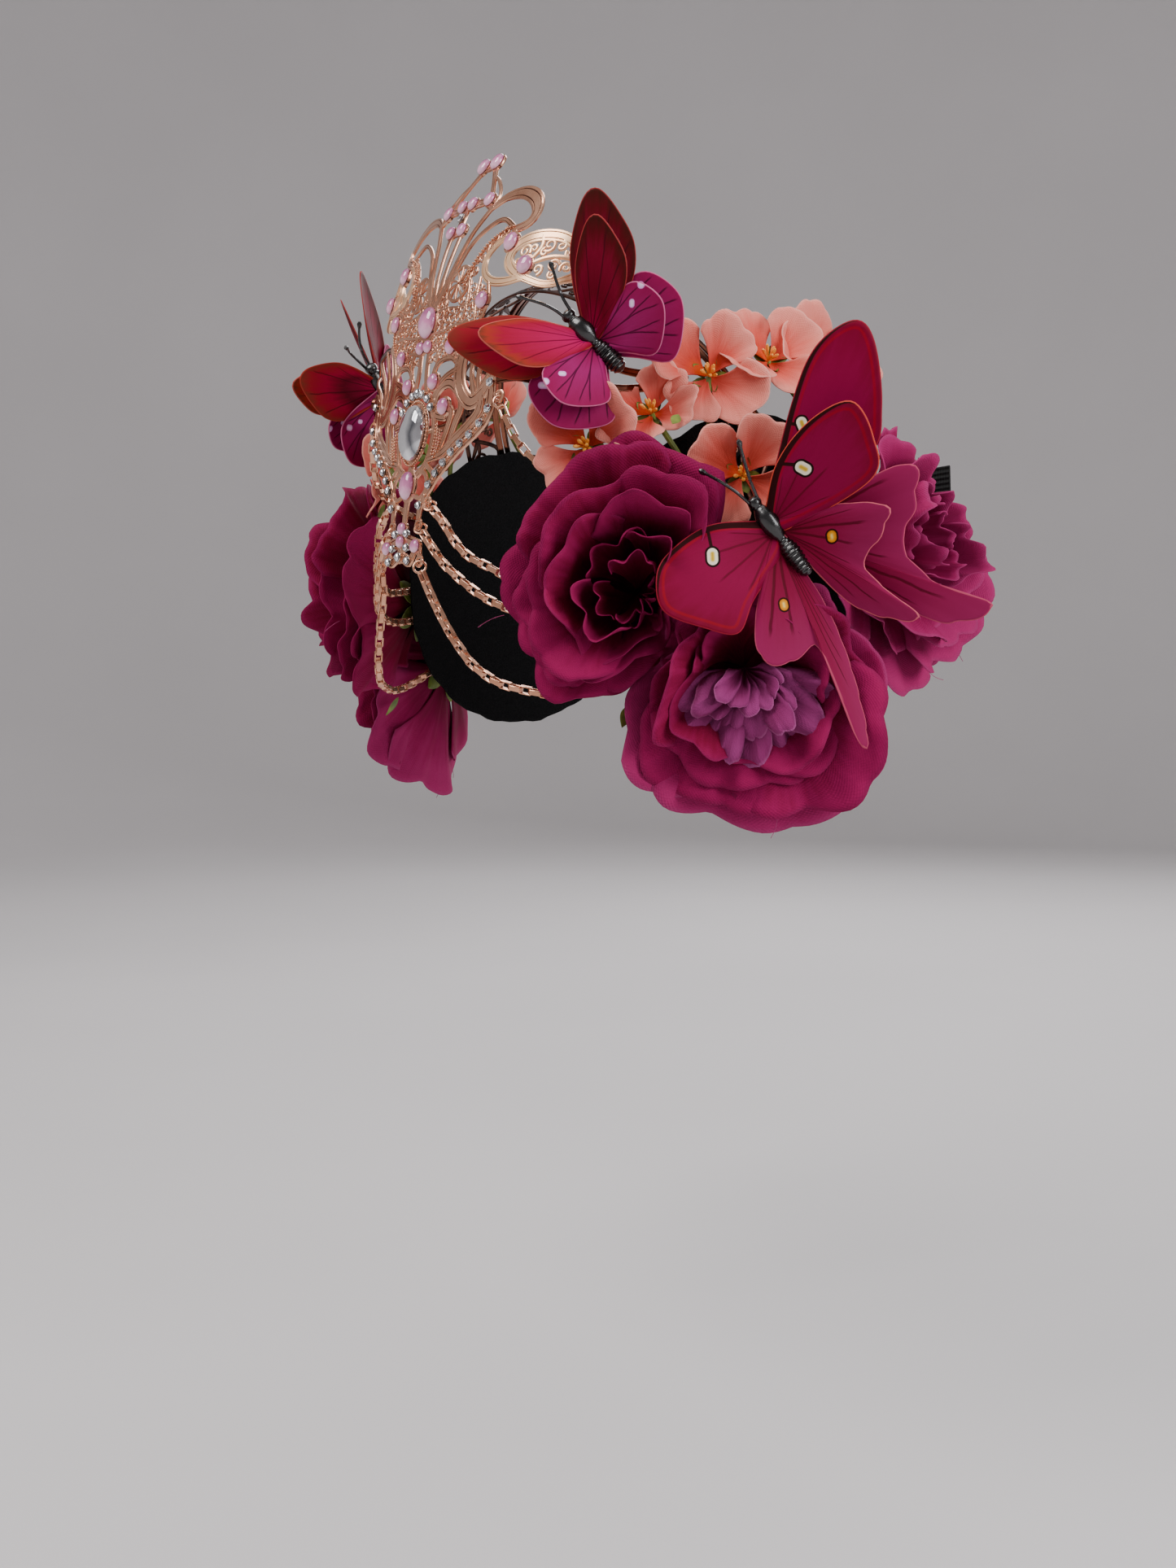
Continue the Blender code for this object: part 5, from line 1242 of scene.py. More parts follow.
# %% Chain routes and one link
# Places that each chain passes, from the crest to the felt, and the way it leaves its eye
CHAIN_ROUTES = {
    "chain_1": [(43.5, -83.0, 27.0), (46.5, -80.8, 20.5), (50.5, -77.3, 15.0), (55.5, -71.5, 11.0),
                (61.5, -62.0, 7.5), (67.6, -50.7, 5.0)],
    "chain_2": [(21.0, -92.4, -2.3), (25.2, -90.8, -8.2), (30.0, -88.6, -12.9),
                (36.0, -85.3, -16.2), (42.6, -80.6, -19.9), (50.0, -73.8, -21.5),
                (57.5, -65.7, -21.0), (64.8, -55.8, -20.0)],
    "chain_3": [(16.3, -94.0, -9.4), (21.0, -92.5, -14.7), (25.2, -90.8, -18.3),
                (29.5, -88.9, -21.7), (34.5, -86.2, -25.3), (41.5, -81.5, -28.9),
                (50.0, -73.8, -31.2), (57.5, -65.7, -31.5), (64.8, -55.8, -30.5)],
    "chain_4": [(15.6, -94.2, -23.9), (19.3, -93.0, -30.1), (23.0, -91.6, -35.9),
                (26.8, -90.0, -41.0), (31.0, -88.0, -46.0), (37.5, -84.0, -50.9),
                (44.2, -79.1, -53.4), (53.2, -70.2, -55.2), (61.5, -59.5, -53.5),
                (69.6, -44.6, -48.0)],
}
CHAIN_STARTS = {"chain_1": (0.3, -0.95), "chain_2": (0.8, -0.6), "chain_3": (0.75, -0.66),
                "chain_4": (0.35, -0.94)}
LINK_LENGTH = 4.6
LINK_WIDTH = 2.6
LINK_BAR = 1.55
LINK_WALL = 0.44
LINK_PITCH = 3.3
RING_RADIUS = 1.95
RING_WIRE = 0.36
RING_GAP = 0.3
# Edge of a link's bar, and the cut of its corners
LINK_EDGE = 0.12
LINK_CUT = 0.6
LINK_CUT_SLOPE = 0.59
LINK_CUT_LEAST = 0.2
ROUTE_STEP = 0.4
# Room before the first link and after the last
FIRST_ROOM = 0.9
LAST_ROOM = 1.0


def link_shape():
    """An oblong with cut corners; each profile point is an inset and a place across the bar."""
    edge, bar = LINK_EDGE, LINK_BAR / 2
    inset = np.array([0, 0, edge, LINK_WALL - edge, LINK_WALL, LINK_WALL, LINK_WALL - edge, edge])
    level = np.array([edge - bar, bar - edge, bar, bar, bar - edge, edge - bar, -bar, -bar])
    length, width = LINK_LENGTH / 2 - inset, LINK_WIDTH / 2 - inset
    cut = np.maximum(LINK_CUT - LINK_CUT_SLOPE * inset, LINK_CUT_LEAST)
    x = np.stack([length, length, length - cut, cut - length, -length, -length, cut - length,
                  length - cut])
    y = np.stack([cut - width, width - cut, width, width, width - cut, cut - width, -width, -width])
    return np.stack([x, y, np.broadcast_to(level, x.shape)], -1)


print("one link has", link_shape()[..., 0].size, "points")


# %% The links along a route, and the jump ring
def crest_point(flat, height):
    """One flat place on the crest, as a point."""
    return crest_place(np.array([flat[0]]), np.array([flat[1]]), np.array([height]))[0]


def chain_start(name):
    """Just under the eye that holds the chain."""
    drop = TAB_RADIUS + TAB_WIDTH / 2 + RING_GAP
    return crest_point(np.array(TABS[name]) + drop * np.array(CHAIN_STARTS[name]), 0.0)


def ring_patch(name, along):
    """A round wire ring through the eye, turned half-way between the plate and square to it:
    point = middle + spoke (radius + wire cos) + normal wire sin."""
    eye = crest_point(TABS[name], 0.0)
    front = unit(crest_point(TABS[name], 1.0) - eye)
    down = unit(chain_start(name) - eye)
    other = unit(front * 0.7 + unit(np.cross(down, front)) * 0.7)
    other = unit(other - down * (down @ other))
    normal = np.cross(down, other)
    turn = circle(28)[:, None, None]
    wire = circle(8)[None, :, None]
    spoke = down * np.cos(turn) + other * np.sin(turn)
    points = (eye + down * RING_RADIUS + spoke * (RING_RADIUS + RING_WIRE * np.cos(wire))
              + normal * RING_WIRE * np.sin(wire))
    return patch(points, 0.0, 0.5, around=True, closed=True)


def chain_patches(name):
    """Links at even steps along the route, each turned a quarter from the last, and the ring."""
    rows = [chain_start(name)] + [np.array(row) for row in CHAIN_ROUTES[name]]
    line = smooth_line(rows, ROUTE_STEP, 3)
    gone = np.arange(len(line)) * np.linalg.norm(line[1] - line[0])
    place = np.arange(FIRST_ROOM + LINK_LENGTH / 2, gone[-1] - LAST_ROOM, LINK_PITCH)
    middle = np.stack([np.interp(place, gone, axis) for axis in line.T], 1)
    slope = np.gradient(line, axis=0)
    along = unit(np.stack([np.interp(place, gone, axis) for axis in slope.T], 1))
    out = unit(middle / HEAD ** 2 * (1, 1, 0.3))
    out = unit(out - along * np.sum(along * out, 1)[:, None])
    aside = np.cross(out, along)
    quarter = (np.arange(len(place)) % 2 == 0)[:, None]
    first, second = np.where(quarter, aside, out), np.where(quarter, out, -aside)
    axes = np.stack([along, first, second], 1)
    points = middle[:, None, None] + np.einsum("rcj,mjk->mrck", link_shape(), axes)
    return [patch(points, 0.0, 0.5, around=True, closed=True), ring_patch(name, along[0])]


link_points = link_shape()[..., 0].size
print("links:", {name: len(chain_patches(name)[0]["points"]) // link_points for name in TABS})


# %% Make the chains
for chain_name in CHAIN_ROUTES:
    for side_name, patches in both_sides(chain_patches(chain_name)):
        piece(f"box_{chain_name}_{side_name}", patches, [ROSE_GOLD],
              [f"{chain_name}_{side_name}"])

# %% [markdown]
# ## Cloth petals
# The big flowers are ruffled layers of sheer magenta cloth, cut with wavy frayed edges. A
# petal could be cut flat and dropped by a cloth simulation, but starched petals keep their
# shape, and a formula gives the same one each time. So a petal is a grid: one way goes from
# edge to edge, the other from foot to rim. Every flower keeps to the room that its packed
# solid has: the solid's reach is read at twenty angles, or ten for a small flower.

# %% Where the flowers stand
UPWARDS = np.array([0.0, 0.0, 1.0])
PETAL_FOOT = 0.15
# How much further than the solid a small flower spreads, as a share of its size
FLORET_SPREAD = 0.18
GROWTH_LIMITS = (0.24, 1.05)
# Angles, and shares by which a flower's petals there reach further out or less far
LEANS = {"peony_a": [(1.3, 0.42), (0.25, -0.36), (5.25, 0.45)], "peony_b": [(-0.25, 0.26)],
         "peony_c": [(0.7, -0.66)]}
# middle, facing, foot on the felt, radius, turn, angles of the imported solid, petals, notch
FLOWERS = {
    "peony_a": ((76, -58, -25), (0.78, -0.62, 0.0), (-50, -25), 42, 0.3, 20, 7, 0.16),
    "peony_b": ((97, -34, -47), (0.83, -0.55, -0.12), (-20, -42), 47, 1.1, 20, 7, 0.16),
    "peony_c": ((98, 22, -8), (0.95, 0.25, 0.05), (22, -12), 45, 2.2, 20, 7, 0.16),
    "floret_1": ((64, -69, 19), (0.6, -0.8, 0.1), (-39, 11), 16, 0.4, 10, 4, 0.42),
    "floret_2": ((71.5, -50.3, 31), (0.6, -0.6, 0.5), (-35, 5), 16, 0.9, 10, 4, 0.42),
    "floret_3": ((81, -12, 49), (0.7, -0.3, 0.6), (9, 20), 16, 0.2, 10, 4, 0.42),
    "floret_4": ((78, -33, 42), (0.8, -0.5, 0.3), (-32, 16), 16, 0.6, 10, 4, 0.42),
    "floret_5": ((93, -32, 10), (0.83, -0.55, 0.0), (-24, -2), 15, 0.5, 10, 4, 0.42),
    "floret_6": ((80, 9, 47), (0.9, 0.1, 0.4), (17, 18), 15, 1.0, 10, 4, 0.42),
}


def petal_foot(name):
    """How far out from a flower's middle its petals start: behind it, so below 0."""
    return -9.2 if name.startswith("peony") else -4.2


def flower_axes(name):
    """Middle, aside, up and facing directions of a flower."""
    middle, facing = np.array(FLOWERS[name][0], float), unit(FLOWERS[name][1])
    aside = unit(np.cross(UPWARDS, facing))
    return middle, aside, np.cross(facing, aside), facing


def flower_room(name):
    """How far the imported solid's petals grow at each of its angles, as a share of their size."""
    _, _, _, radius, turn, sides, petals, notch = FLOWERS[name]
    middle, aside, up, facing = flower_axes(name)
    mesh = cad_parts[f"{name}_left"].data
    points = np.empty(len(mesh.vertices) * 3)
    mesh.vertices.foreach_get("co", points)
    points = points.reshape(-1, 3) / MM - middle
    points = points[points @ facing > petal_foot(name)]
    angle = np.arctan2(points @ up, points @ aside)
    place = np.round(angle / (2 * math.pi / sides)).astype(int) % sides
    reach = np.zeros(sides)
    np.maximum.at(reach, place, np.hypot(points @ up, points @ aside))
    at = circle(sides)
    lobe = 1 - notch * np.abs(np.cos(petals * at / 2 + turn))
    grow = (reach / radius - PETAL_FOOT) / (1 - PETAL_FOOT) / lobe
    beside = (np.roll(grow, 1) + np.roll(grow, -1)) / 2
    spread = 0.0 if name.startswith("peony") else FLORET_SPREAD
    return at, np.clip(np.maximum(grow, (grow + beside) / 2) + spread, *GROWTH_LIMITS)


room = {name: flower_room(name) for name in FLOWERS}
print({name: round(float(grow.mean()), 2) for name, (_, grow) in room.items()})


# %% The petal function
def petals(name, layer, columns=41, rows=14, arc=2 * math.pi, finish=0):
    """Petals of one layer. For t across from -1 to 1 and s from foot to rim, with c the petal's
    middle angle and w its half width: angle = c + w t (0.5 + 0.5 s), share = (s edge(t))^belly,
    reach = radius share room(angle), changed by cos squared from the angle of each lean, and
    height = foot + rise (s edge)^bend + cup + waves - roll."""
    scale, foot, rise, count, width, wave, bend, belly, roll, pointed, start = layer
    _, _, _, radius, turn, _, _, _ = FLOWERS[name]
    middle, aside, up, facing = flower_axes(name)
    at, grow = room[name]
    shuffle = np.random.default_rng(round(100 * (turn + scale)))
    a, b, c, d, e, f = shuffle.uniform(-1, 1, (6, count, 1, 1))
    number = np.arange(count)[:, None, None]
    t = np.linspace(-1, 1, columns)[None, None, :]
    s = (np.linspace(0, 1, rows) ** 0.8)[None, :, None]
    angle = (start + turn + number * arc / count + 0.8 * a / count
             + width * (1 + 0.15 * b) * math.pi / count * t * (0.5 + 0.5 * s))
    scallop = 0.045 * (np.abs(np.cos((2.0 + 0.5 * c) * math.pi * t + 2 * d)) - 0.6) * s ** 4
    edge = 1 - (0.13 + pointed) * np.abs(t) ** (2.6 - pointed) - 0.10 * t ** 8 + scallop
    run = s * edge * (1 + 0.09 * e)
    share = run ** belly
    free = np.interp(angle % (2 * math.pi), np.append(at, 2 * math.pi), np.append(grow, grow[0]))
    for lean_angle, lean in LEANS.get(name, []):
        free = free * (1 + lean * scale * np.maximum(np.cos(angle - lean_angle), 0) ** 2)
    reach = radius * scale * (PETAL_FOOT * np.minimum(share / PETAL_FOOT, 1)
                              + np.maximum(share - PETAL_FOOT, 0) * free)
    lip = np.clip((s - 0.74) / 0.26, 0, 1) ** 2
    waves = wave * s ** 2 * (np.sin(1.3 * math.pi * t + 3 * a)
                             + 0.35 * np.sin(3.3 * math.pi * t + 3 * b)
                             + 0.10 * np.sin(8 * math.pi * t + 3 * f))
    height = (foot + rise * run ** bend * (0.5 + 0.5 * free) * (1 + 0.2 * f) + 2.4 * s * t ** 2
              + waves + 1.6 * t * s - roll * (1 + 0.8 * c) * lip)
    sway = 0.6 * wave * s ** 3 * np.sin(2.2 * math.pi * t + 3 * d)
    reach = reach + 0.8 * roll * (1 + 0.8 * d) * lip + sway
    way = np.cos(angle)[..., None] * aside + np.sin(angle)[..., None] * up
    points = middle + way * reach[..., None] + facing * height[..., None]
    return patch(points, number + 0.5 + 0.49 * t, s, finish=finish)


# %% [markdown]
# ## Cloth finishes
# The cloth is sheer, so its tone changes from petal to petal. Its colour is deep near the foot,
# as painted shade in the flower's hollows, and light at the rim, as painted light, with faint
# threads and veins. One flower and the outer petals of another have painted light all over, for
# the light that reaches them from the side and behind. A picture of cloth could be laid on, but
# it would repeat. Colours and a small bump on the surface coordinates follow each petal instead.


# %% Cloth finish
def cloth(name, stops, thread, rim, vein):
    """Cloth whose colour runs by stops from foot to rim, painted shade at the foot and painted
    light at the rim, with veins, threads and a pale edge.
    """
    made, tree, shader = material(name, 0.85, Specular_IOR_Level=0.12)
    u, v = surface(tree)
    petal = maths(tree, "FLOOR", u)
    tone = node(tree, "TexWhiteNoise", {"W": petal}, noise_dimensions="1D").outputs["Value"]
    streak = noise(tree, 1.6, pair(tree, times(tree, u, 14.0), times(tree, v, 1.4)), 4.0)
    cloud = noise(tree, 60.0)
    level = shifted(tree, v, streak, vein)
    level = shifted(tree, level, tone, 0.34)
    level = shifted(tree, level, cloud, 0.6)
    colour = ramp(tree, level, stops)
    colour_in(tree, shader, mixed(tree, step_up(tree, v, 0.97, 0.995), colour, rim))
    warp = maths(tree, "SINE", times(tree, u, 2 * math.pi * thread))
    weft = maths(tree, "SINE", times(tree, v, 2 * math.pi * thread))
    weave = maths(tree, "MULTIPLY_ADD", times(tree, warp, weft), 0.4, times(tree, streak, 1.5))
    bump_in(tree, shader, weave, 0.4, 0.0004)
    return made


# Each ramp runs from painted shade at the foot to painted light at the rim
MAGENTA_CLOTH = cloth("magenta_cloth_sheer", [
    (0.0, (40, 1, 13)), (0.35, (84, 2, 28)), (0.7, (114, 4, 46)),
    (1.0, (140, 16, 74))], 60.0, (132, 20, 72), 0.45)
# The same magenta with painted light, for the flower and outer petals lit from the side and behind
MAGENTA_CLOTH_PAINTED_LIGHT = cloth("magenta_cloth_painted_light", [
    (0.0, (54, 2, 22)), (0.35, (106, 6, 46)), (0.7, (138, 14, 72)),
    (1.0, (156, 34, 92))], 60.0, (158, 46, 100), 0.45)
LILAC_CLOTH = cloth("lilac_cloth_sheer", [
    (0.0, (72, 6, 40)), (0.4, (112, 24, 74)), (1.0, (140, 52, 108))],
    24.0, (156, 74, 126), 0.4)
SALMON_CLOTH = cloth("salmon_cloth_sheer", [
    (0.0, (212, 76, 28)), (0.2, (196, 64, 50)), (0.5, (214, 90, 78)),
    (1.0, (228, 136, 122))], 30.0, (236, 156, 142), 0.35)
print("cloth finishes:", MAGENTA_CLOTH.name, LILAC_CLOTH.name, SALMON_CLOTH.name)

# %% Flower layers
# scale, foot, rise, petals, width, wave, bend, belly, roll, pointed, turn
PEONY_LAYERS = [
    (0.94, -9.0, 12.0, 5, 1.30, 2.6, 1.3, 1.00, 1.2, 0.0, 0.0),
    (0.84, -7.0, 18.0, 5, 1.26, 2.6, 1.5, 0.95, 2.0, 0.0, 0.63),
    (0.70, -5.0, 22.0, 4, 1.24, 2.4, 1.8, 0.80, 2.2, 0.0, 0.2),
    (0.56, -4.0, 22.0, 4, 1.20, 2.2, 2.2, 0.65, 1.2, 0.0, 1.0),
]
CLOSED_HEART = [
    (0.42, -3.0, 20.0, 4, 1.10, 2.8, 2.0, 0.60, -1.6, 0.0, 0.4),
    (0.28, -2.0, 19.0, 4, 1.00, 2.2, 1.8, 0.60, -1.4, 0.0, 1.4),
]
# The open flower's lilac petals hang from the top of its heart over the lower half
LILAC_ARC = 2.9
LILAC_HEART = [
    (0.50, -3.0, 15.0, 9, 1.00, 1.2, 1.0, 0.90, 3.2, 0.42, -3.9),
    (0.36, -2.0, 17.0, 7, 1.00, 1.0, 0.9, 0.90, 3.0, 0.42, -3.8),
    (0.22, -1.0, 17.0, 6, 1.10, 0.8, 0.9, 0.90, 1.4, 0.42, -3.7),
]
FLORET_LAYERS = [(1.20, -4.0, 7.5, 4, 1.08, 1.0, 1.5, 0.95, 0.7, 0.15, 0.39)]


def flower_shapes(name):
    """All petals of one flower."""
    if not name.startswith("peony"):
        return [petals(name, layer, 33, 12) for layer in FLORET_LAYERS]
    # Finish 2 is the magenta with painted light: all of peony_c and the outer layer of peony_b
    pale = 2 if name == "peony_c" else 0
    shapes = [petals(name, layer, finish=pale) for layer in PEONY_LAYERS[1:]]
    shapes.append(petals(name, PEONY_LAYERS[0], finish=pale if name == "peony_a" else 2))
    if name == "peony_b":
        return shapes + [petals(name, layer, 15, 9, LILAC_ARC, 1) for layer in LILAC_HEART]
    return shapes + [petals(name, layer, 31, 12, finish=pale) for layer in CLOSED_HEART]


def cloth_piece(name, patches, finishes, nodes, wall):
    """A piece of cloth petals or wings, thickened by a wall in mm."""
    made = piece(name, patches, finishes, nodes, wall=wall)


print("layers of a closed flower:", len(PEONY_LAYERS) + len(CLOSED_HEART))

# %% Make the flowers
PETAL_WALL = 0.3
for flower in FLOWERS:
    big = flower.startswith("peony")
    shapes = flower_shapes(flower)
    finishes = [MAGENTA_CLOTH, LILAC_CLOTH, MAGENTA_CLOTH_PAINTED_LIGHT] if big else [SALMON_CLOTH]
    for side_name, side_shapes in both_sides(shapes):
        node_name = f"{flower}_{side_name}"
        if node_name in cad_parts:
            cloth_piece(f"{flower}_petals_{side_name}", side_shapes, finishes, [node_name],
                        PETAL_WALL)

# %% [markdown]
# ## Stems, green leaves, stamens and loose threads
# Wire stems wrapped in green tape hold the flowers to the felt. Stubby yellow stamens stand in
# the small flowers, and a few threads have worked loose from the cut edges of the cloth. Each
# could be a curve with a round bevel, but rings along a line let the radius change freely.


# %% Tubes
def tube(line, radius, sides=8, finish=0):
    """A round tube: point = line + radius (first cos + second sin), where radius may be one for
    each point of the line, and the ends are closed."""
    along = unit(np.gradient(line, axis=0))
    helper = np.where(np.abs(along[:, 2:]) > 0.9, (1.0, 0.0, 0.0), (0.0, 0.0, 1.0))
    first = unit(np.cross(along, helper))
    second = np.cross(along, first)
    angle = circle(sides)
    ring = first[:, None] * np.cos(angle)[:, None] + second[:, None] * np.sin(angle)[:, None]
    points = line[:, None] + ring * np.broadcast_to(radius, len(line))[:, None, None]
    points = np.concatenate([line[:1, None].repeat(sides, 1), points,
                             line[-1:, None].repeat(sides, 1)])
    return patch(points, np.arange(len(points))[:, None] / 4, 0.5, around=True, finish=finish)


print("quads in a short tube:", len(tube(np.arange(9.0).reshape(3, 3), 1.0)["faces"]))

# %% Stems and green points
STEM_GREEN = plain_finish("green_tape", (124, 140, 52), (74, 92, 34), 0.6, 300.0)
STAMEN_YELLOW = plain_finish("yellow_stamens", (246, 178, 70), (222, 128, 44), 0.5, 500.0)
BODY_BLACK = plain_finish("black_lacquer", (12, 12, 13), (5, 5, 6), 0.26, 400.0,
                          Coat_Weight=0.6, Coat_Roughness=0.1)
print("small finishes:", STEM_GREEN.name, STAMEN_YELLOW.name, BODY_BLACK.name)


def felt_point(y, z, height):
    """A point at a height out from the felt."""
    return np.array([float(pad_outer(np.array(y), np.array(z))) + height, y, z])


def stem_patch(name):
    """A smooth line from the felt to the back of the petals."""
    middle, _, _, facing = flower_axes(name)
    y, z = FLOWERS[name][2]
    start = felt_point(y, z, 0.3)
    across = felt_point(y + 1, z, 0) - felt_point(y - 1, z, 0)
    rise = felt_point(y, z + 1, 0) - felt_point(y, z - 1, 0)
    normal = unit(np.cross(across, rise))
    end = middle + facing * (petal_foot(name) + 0.2)
    knee = start + normal * 0.4 * np.linalg.norm(end - start)
    t = np.linspace(0, 1, 12)[:, None]
    return tube((1 - t) ** 2 * start + 2 * t * (1 - t) * knee + t ** 2 * end, 0.9)


def calyx_patch(name):
    """Five green points under the petals: reach = 1 + 0.3 radius s, narrowing to a tip."""
    middle, aside, up, facing = flower_axes(name)
    t = np.linspace(-1, 1, 7)[None, None, :]
    s = np.linspace(0, 1, 9)[None, :, None]
    angle = circle(5)[:, None, None] + (0.6 * (1 - s ** 2) + 0.02) * t
    reach = 1.0 + FLOWERS[name][3] * 0.30 * s
    height = petal_foot(name) - 0.5 + 2.2 * s ** 1.5 + 0.3 * t ** 2
    way = np.cos(angle)[..., None] * aside + np.sin(angle)[..., None] * up
    face = middle + way * reach[..., None] + facing * height[..., None]
    both = np.concatenate([face, (face - facing * 0.35)[:, :, ::-1]], 2)
    ends = both.mean(2, keepdims=True).repeat(both.shape[2], 2)
    both = np.concatenate([ends[:, :1], both, ends[:, -1:]], 1)
    return patch(both, 0.0, 0.5, around=True)


LEAF_PROFILE = np.array([(-1, 0), (-0.5, 0.25), (0, 0.1), (0.5, 0.25), (1, 0), (0.5, -0.15),
                         (0, -0.3), (-0.5, -0.15)])


def leaf_patch(place, tip):
    """A small pointed leaf from place to tip, 0.4 mm thick."""
    place, tip = np.array(place, float), np.array(tip, float)
    along = unit(tip - place)
    flat = unit(np.cross(along, (0.8, -0.55, 0.2)))
    out = np.cross(flat, along)
    s = np.linspace(0, 1, 12)[:, None, None]
    half = np.linalg.norm(tip - place) * 0.24 * np.sin(math.pi * s ** 0.8)
    points = (place + (tip - place) * s + flat * half * LEAF_PROFILE[:, :1]
              + out * (LEAF_PROFILE[:, 1:] * (half > 1e-6) + 0.8 * s * s))
    return patch(points, 0.0, 0.5, around=True)


LEAVES = [((72.5, -58.0, -58.0), (73.5, -62.0, -65.0)), ((63.0, -68.0, 10.0), (61.5, -71.5, 4.0)),
          ((80.0, -46.0, 28.0), (82.5, -50.5, 24.0))]
greens = [stem_patch(name) for name in FLOWERS] + [calyx_patch(name) for name in FLOWERS]
greens += [leaf_patch(*row) for row in LEAVES]
for side_name, patches in both_sides(greens):
    piece(f"green_stems_{side_name}", patches, [STEM_GREEN])


# %% Stamens and threads
STAMENS = 7
STAMEN_RADII = np.array([0.34, 0.3, 0.28, 0.28, 0.5, 0.62, 0.3])


def stamen_patches(names):
    """Stubby threads with a swollen tip, spread like a fan in the heart of each flower."""
    out = []
    s = np.linspace(0, 1, len(STAMEN_RADII))[:, None]
    for name in names:
        middle, aside, up, facing = flower_axes(name)
        for number in range(STAMENS):
            angle = number * 2.4
            lean = 0.25 + 0.55 * (number / STAMENS)
            way = (np.cos(angle) * aside + np.sin(angle) * up) * lean + facing
            line = middle - facing * 3.4 + unit(way) * s * (5.0 + 0.8 * math.sin(number * 2))
            out.append(tube(line, STAMEN_RADII, 7))
    return out


# Flower, angle from its sideways direction, length in mm and bend of each loose thread
LOOSE_THREADS = [
    ("peony_a", 3.3, 8.0, 0.6), ("peony_b", -1.35, 6.0, -0.8), ("peony_b", -1.1, 5.0, 0.5),
    ("peony_c", -0.5, 8.0, 0.7), ("peony_c", -0.8, 7.0, -0.6), ("peony_c", -1.2, 5.0, 0.9)]


def loose_thread(name, angle, length, bend):
    """A fine curved thread that leaves the rim of a large flower."""
    middle, aside, up, facing = flower_axes(name)
    free = np.interp(angle % (2 * math.pi), *room[name])
    way = np.cos(angle) * aside + np.sin(angle) * up
    side = np.cross(facing, way)
    reach = FLOWERS[name][3] * (PETAL_FOOT + 0.80 * free)
    s = np.linspace(0, 1, 9)[:, None]
    line = (middle + way * (reach + length * s) + facing * (3.0 + 2.0 * s ** 2)
            + side * (4.0 * bend * s ** 2))
    return tube(line, 0.10, 5)


# The last small flower has no twin on the right
florets = [name for name in FLOWERS if name.startswith("floret")]
hearts = stamen_patches(florets) + mirrored(stamen_patches(florets[:-1]))
piece("stamens", hearts, [STAMEN_YELLOW])
THREADS = plain_finish("magenta_threads", (176, 60, 120), (120, 20, 70), 0.7, 900.0)
threads = [loose_thread(*row) for row in LOOSE_THREADS]
piece("loose_threads", threads + mirrored(threads), [THREADS])

# %% [markdown]
# ## Butterflies
# Each butterfly is printed cloth: two pairs of wings one over the other on a wire body, with
# black feelers. A wing could be a flat cut-out with a picture on it, but the picture would blur
# close up. So a wing is a fan: rays from its root to its outline, which veins and shading can
# follow. Each point also stores its place on the wing and how far it is from the edge, for the
# dark borders and the eye spots, which are a plain traditional pattern.

# %% Wing outlines
VIEW_SIDE = np.array([0.559, 0.829, 0.0])
WING_RISE = 0.30
SECOND_RISE = 0.70
TOP_UPPER = [(0.5, 5), (8, 17), (15, 24.5), (26, 30.5), (31, 29), (30.5, 20), (27, 10), (18, 3),
             (0.5, -1)]
TOP_LOWER = [(0.5, 3), (18, 5), (25, 2), (26.5, -9), (20, -17), (12, -20.5), (6, -13), (0.5, -5)]
MOTH = {
    "left_upper": [(-0.5, 6), (-15, 15), (-30, 15.5), (-37, 11), (-40, 3), (-34, -7), (-27, -14.5),
                   (-18, -10), (-0.5, -3)],
    "left_lower": [(-0.5, 2), (-20, -14), (-25.5, -24), (-20, -30), (-11, -31), (-13.5, -44),
                   (-18, -59), (-15, -60), (-6, -40), (-1, -20)],
    "right_upper": [(0.5, 8), (25, 28), (39, 36), (51, 35), (52, 27), (43, 11), (32, 2), (0.5, -2)],
    "right_lower": [(0.5, 2), (38, -5), (34, -16), (25, -23), (26, -37), (34, -50), (32, -52.5),
                    (20, -46), (9, -23)],
}
MOTH_SECOND = {
    "second_upper": [(0.5, 8), (11, 17), (24, 20.5), (35, 17.5), (34, 6), (27, -3), (0.5, 1)],
    "second_lower": [(0.5, 3), (14, -1), (26, -11), (20, -17), (13, -20), (13.5, -30), (16, -40),
                     (13.5, -41), (4, -27)],
}
FLIERS = {
    "top_butterfly": {"middle": (65.4, -66.5, 49.3), "head": (-0.707, 0.707), "body": (3.4, 12.2),
                      "feelers": [(0.8, 8), (2.5, 16), (7, 25)]},
    "moth": {"middle": (110.7, -32.6, -9.0), "head": (-0.613, 0.79), "body": (3.1, 14.0),
             "feelers": [(0.8, 10), (3, 19), (7, 29)]},
}


def flier_axes(name):
    """Middle, aside, ahead and outward directions of a butterfly that faces the viewer."""
    lean, up = FLIERS[name]["head"]
    ahead = unit(VIEW_SIDE * lean + UPWARDS * up)
    outward = unit(np.cross(VIEW_SIDE, UPWARDS))
    return np.array(FLIERS[name]["middle"]), np.cross(ahead, outward), ahead, outward


def rim_distance(flat, line):
    """Distance from each point to the nearest place on the outline."""
    ahead = np.roll(line, -1, 0) - line
    dense = np.concatenate([line + ahead * part for part in (0, 0.25, 0.5, 0.75)])
    return np.linalg.norm(flat[:, :, None] - dense, axis=-1).min(-1)


# Share of the outline from the root along the front edge, and the dark edge's width there
LEAD_PLACES = (0.0, 0.08, 0.2, 0.34, 0.42, 0.45)
LEAD_WIDTHS = (2.3, 2.2, 1.8, 1.2, 0.4, -3.0)
WING_ROWS = np.array([0, 0.06, 0.14, 0.24, 0.35, 0.46, 0.57, 0.67, 0.76, 0.84, 0.90, 0.945,
                      0.975, 1.0])
OUTLINE_STEP = 1.3
# A wing with a wide foot has its root just behind the first point of its outline
ROOT_ASIDE = 2.2
WIDE_FOOT = 15
ROOT_BACK = 2.0
WING_BOW = 1.2
SCALLOPS = 17


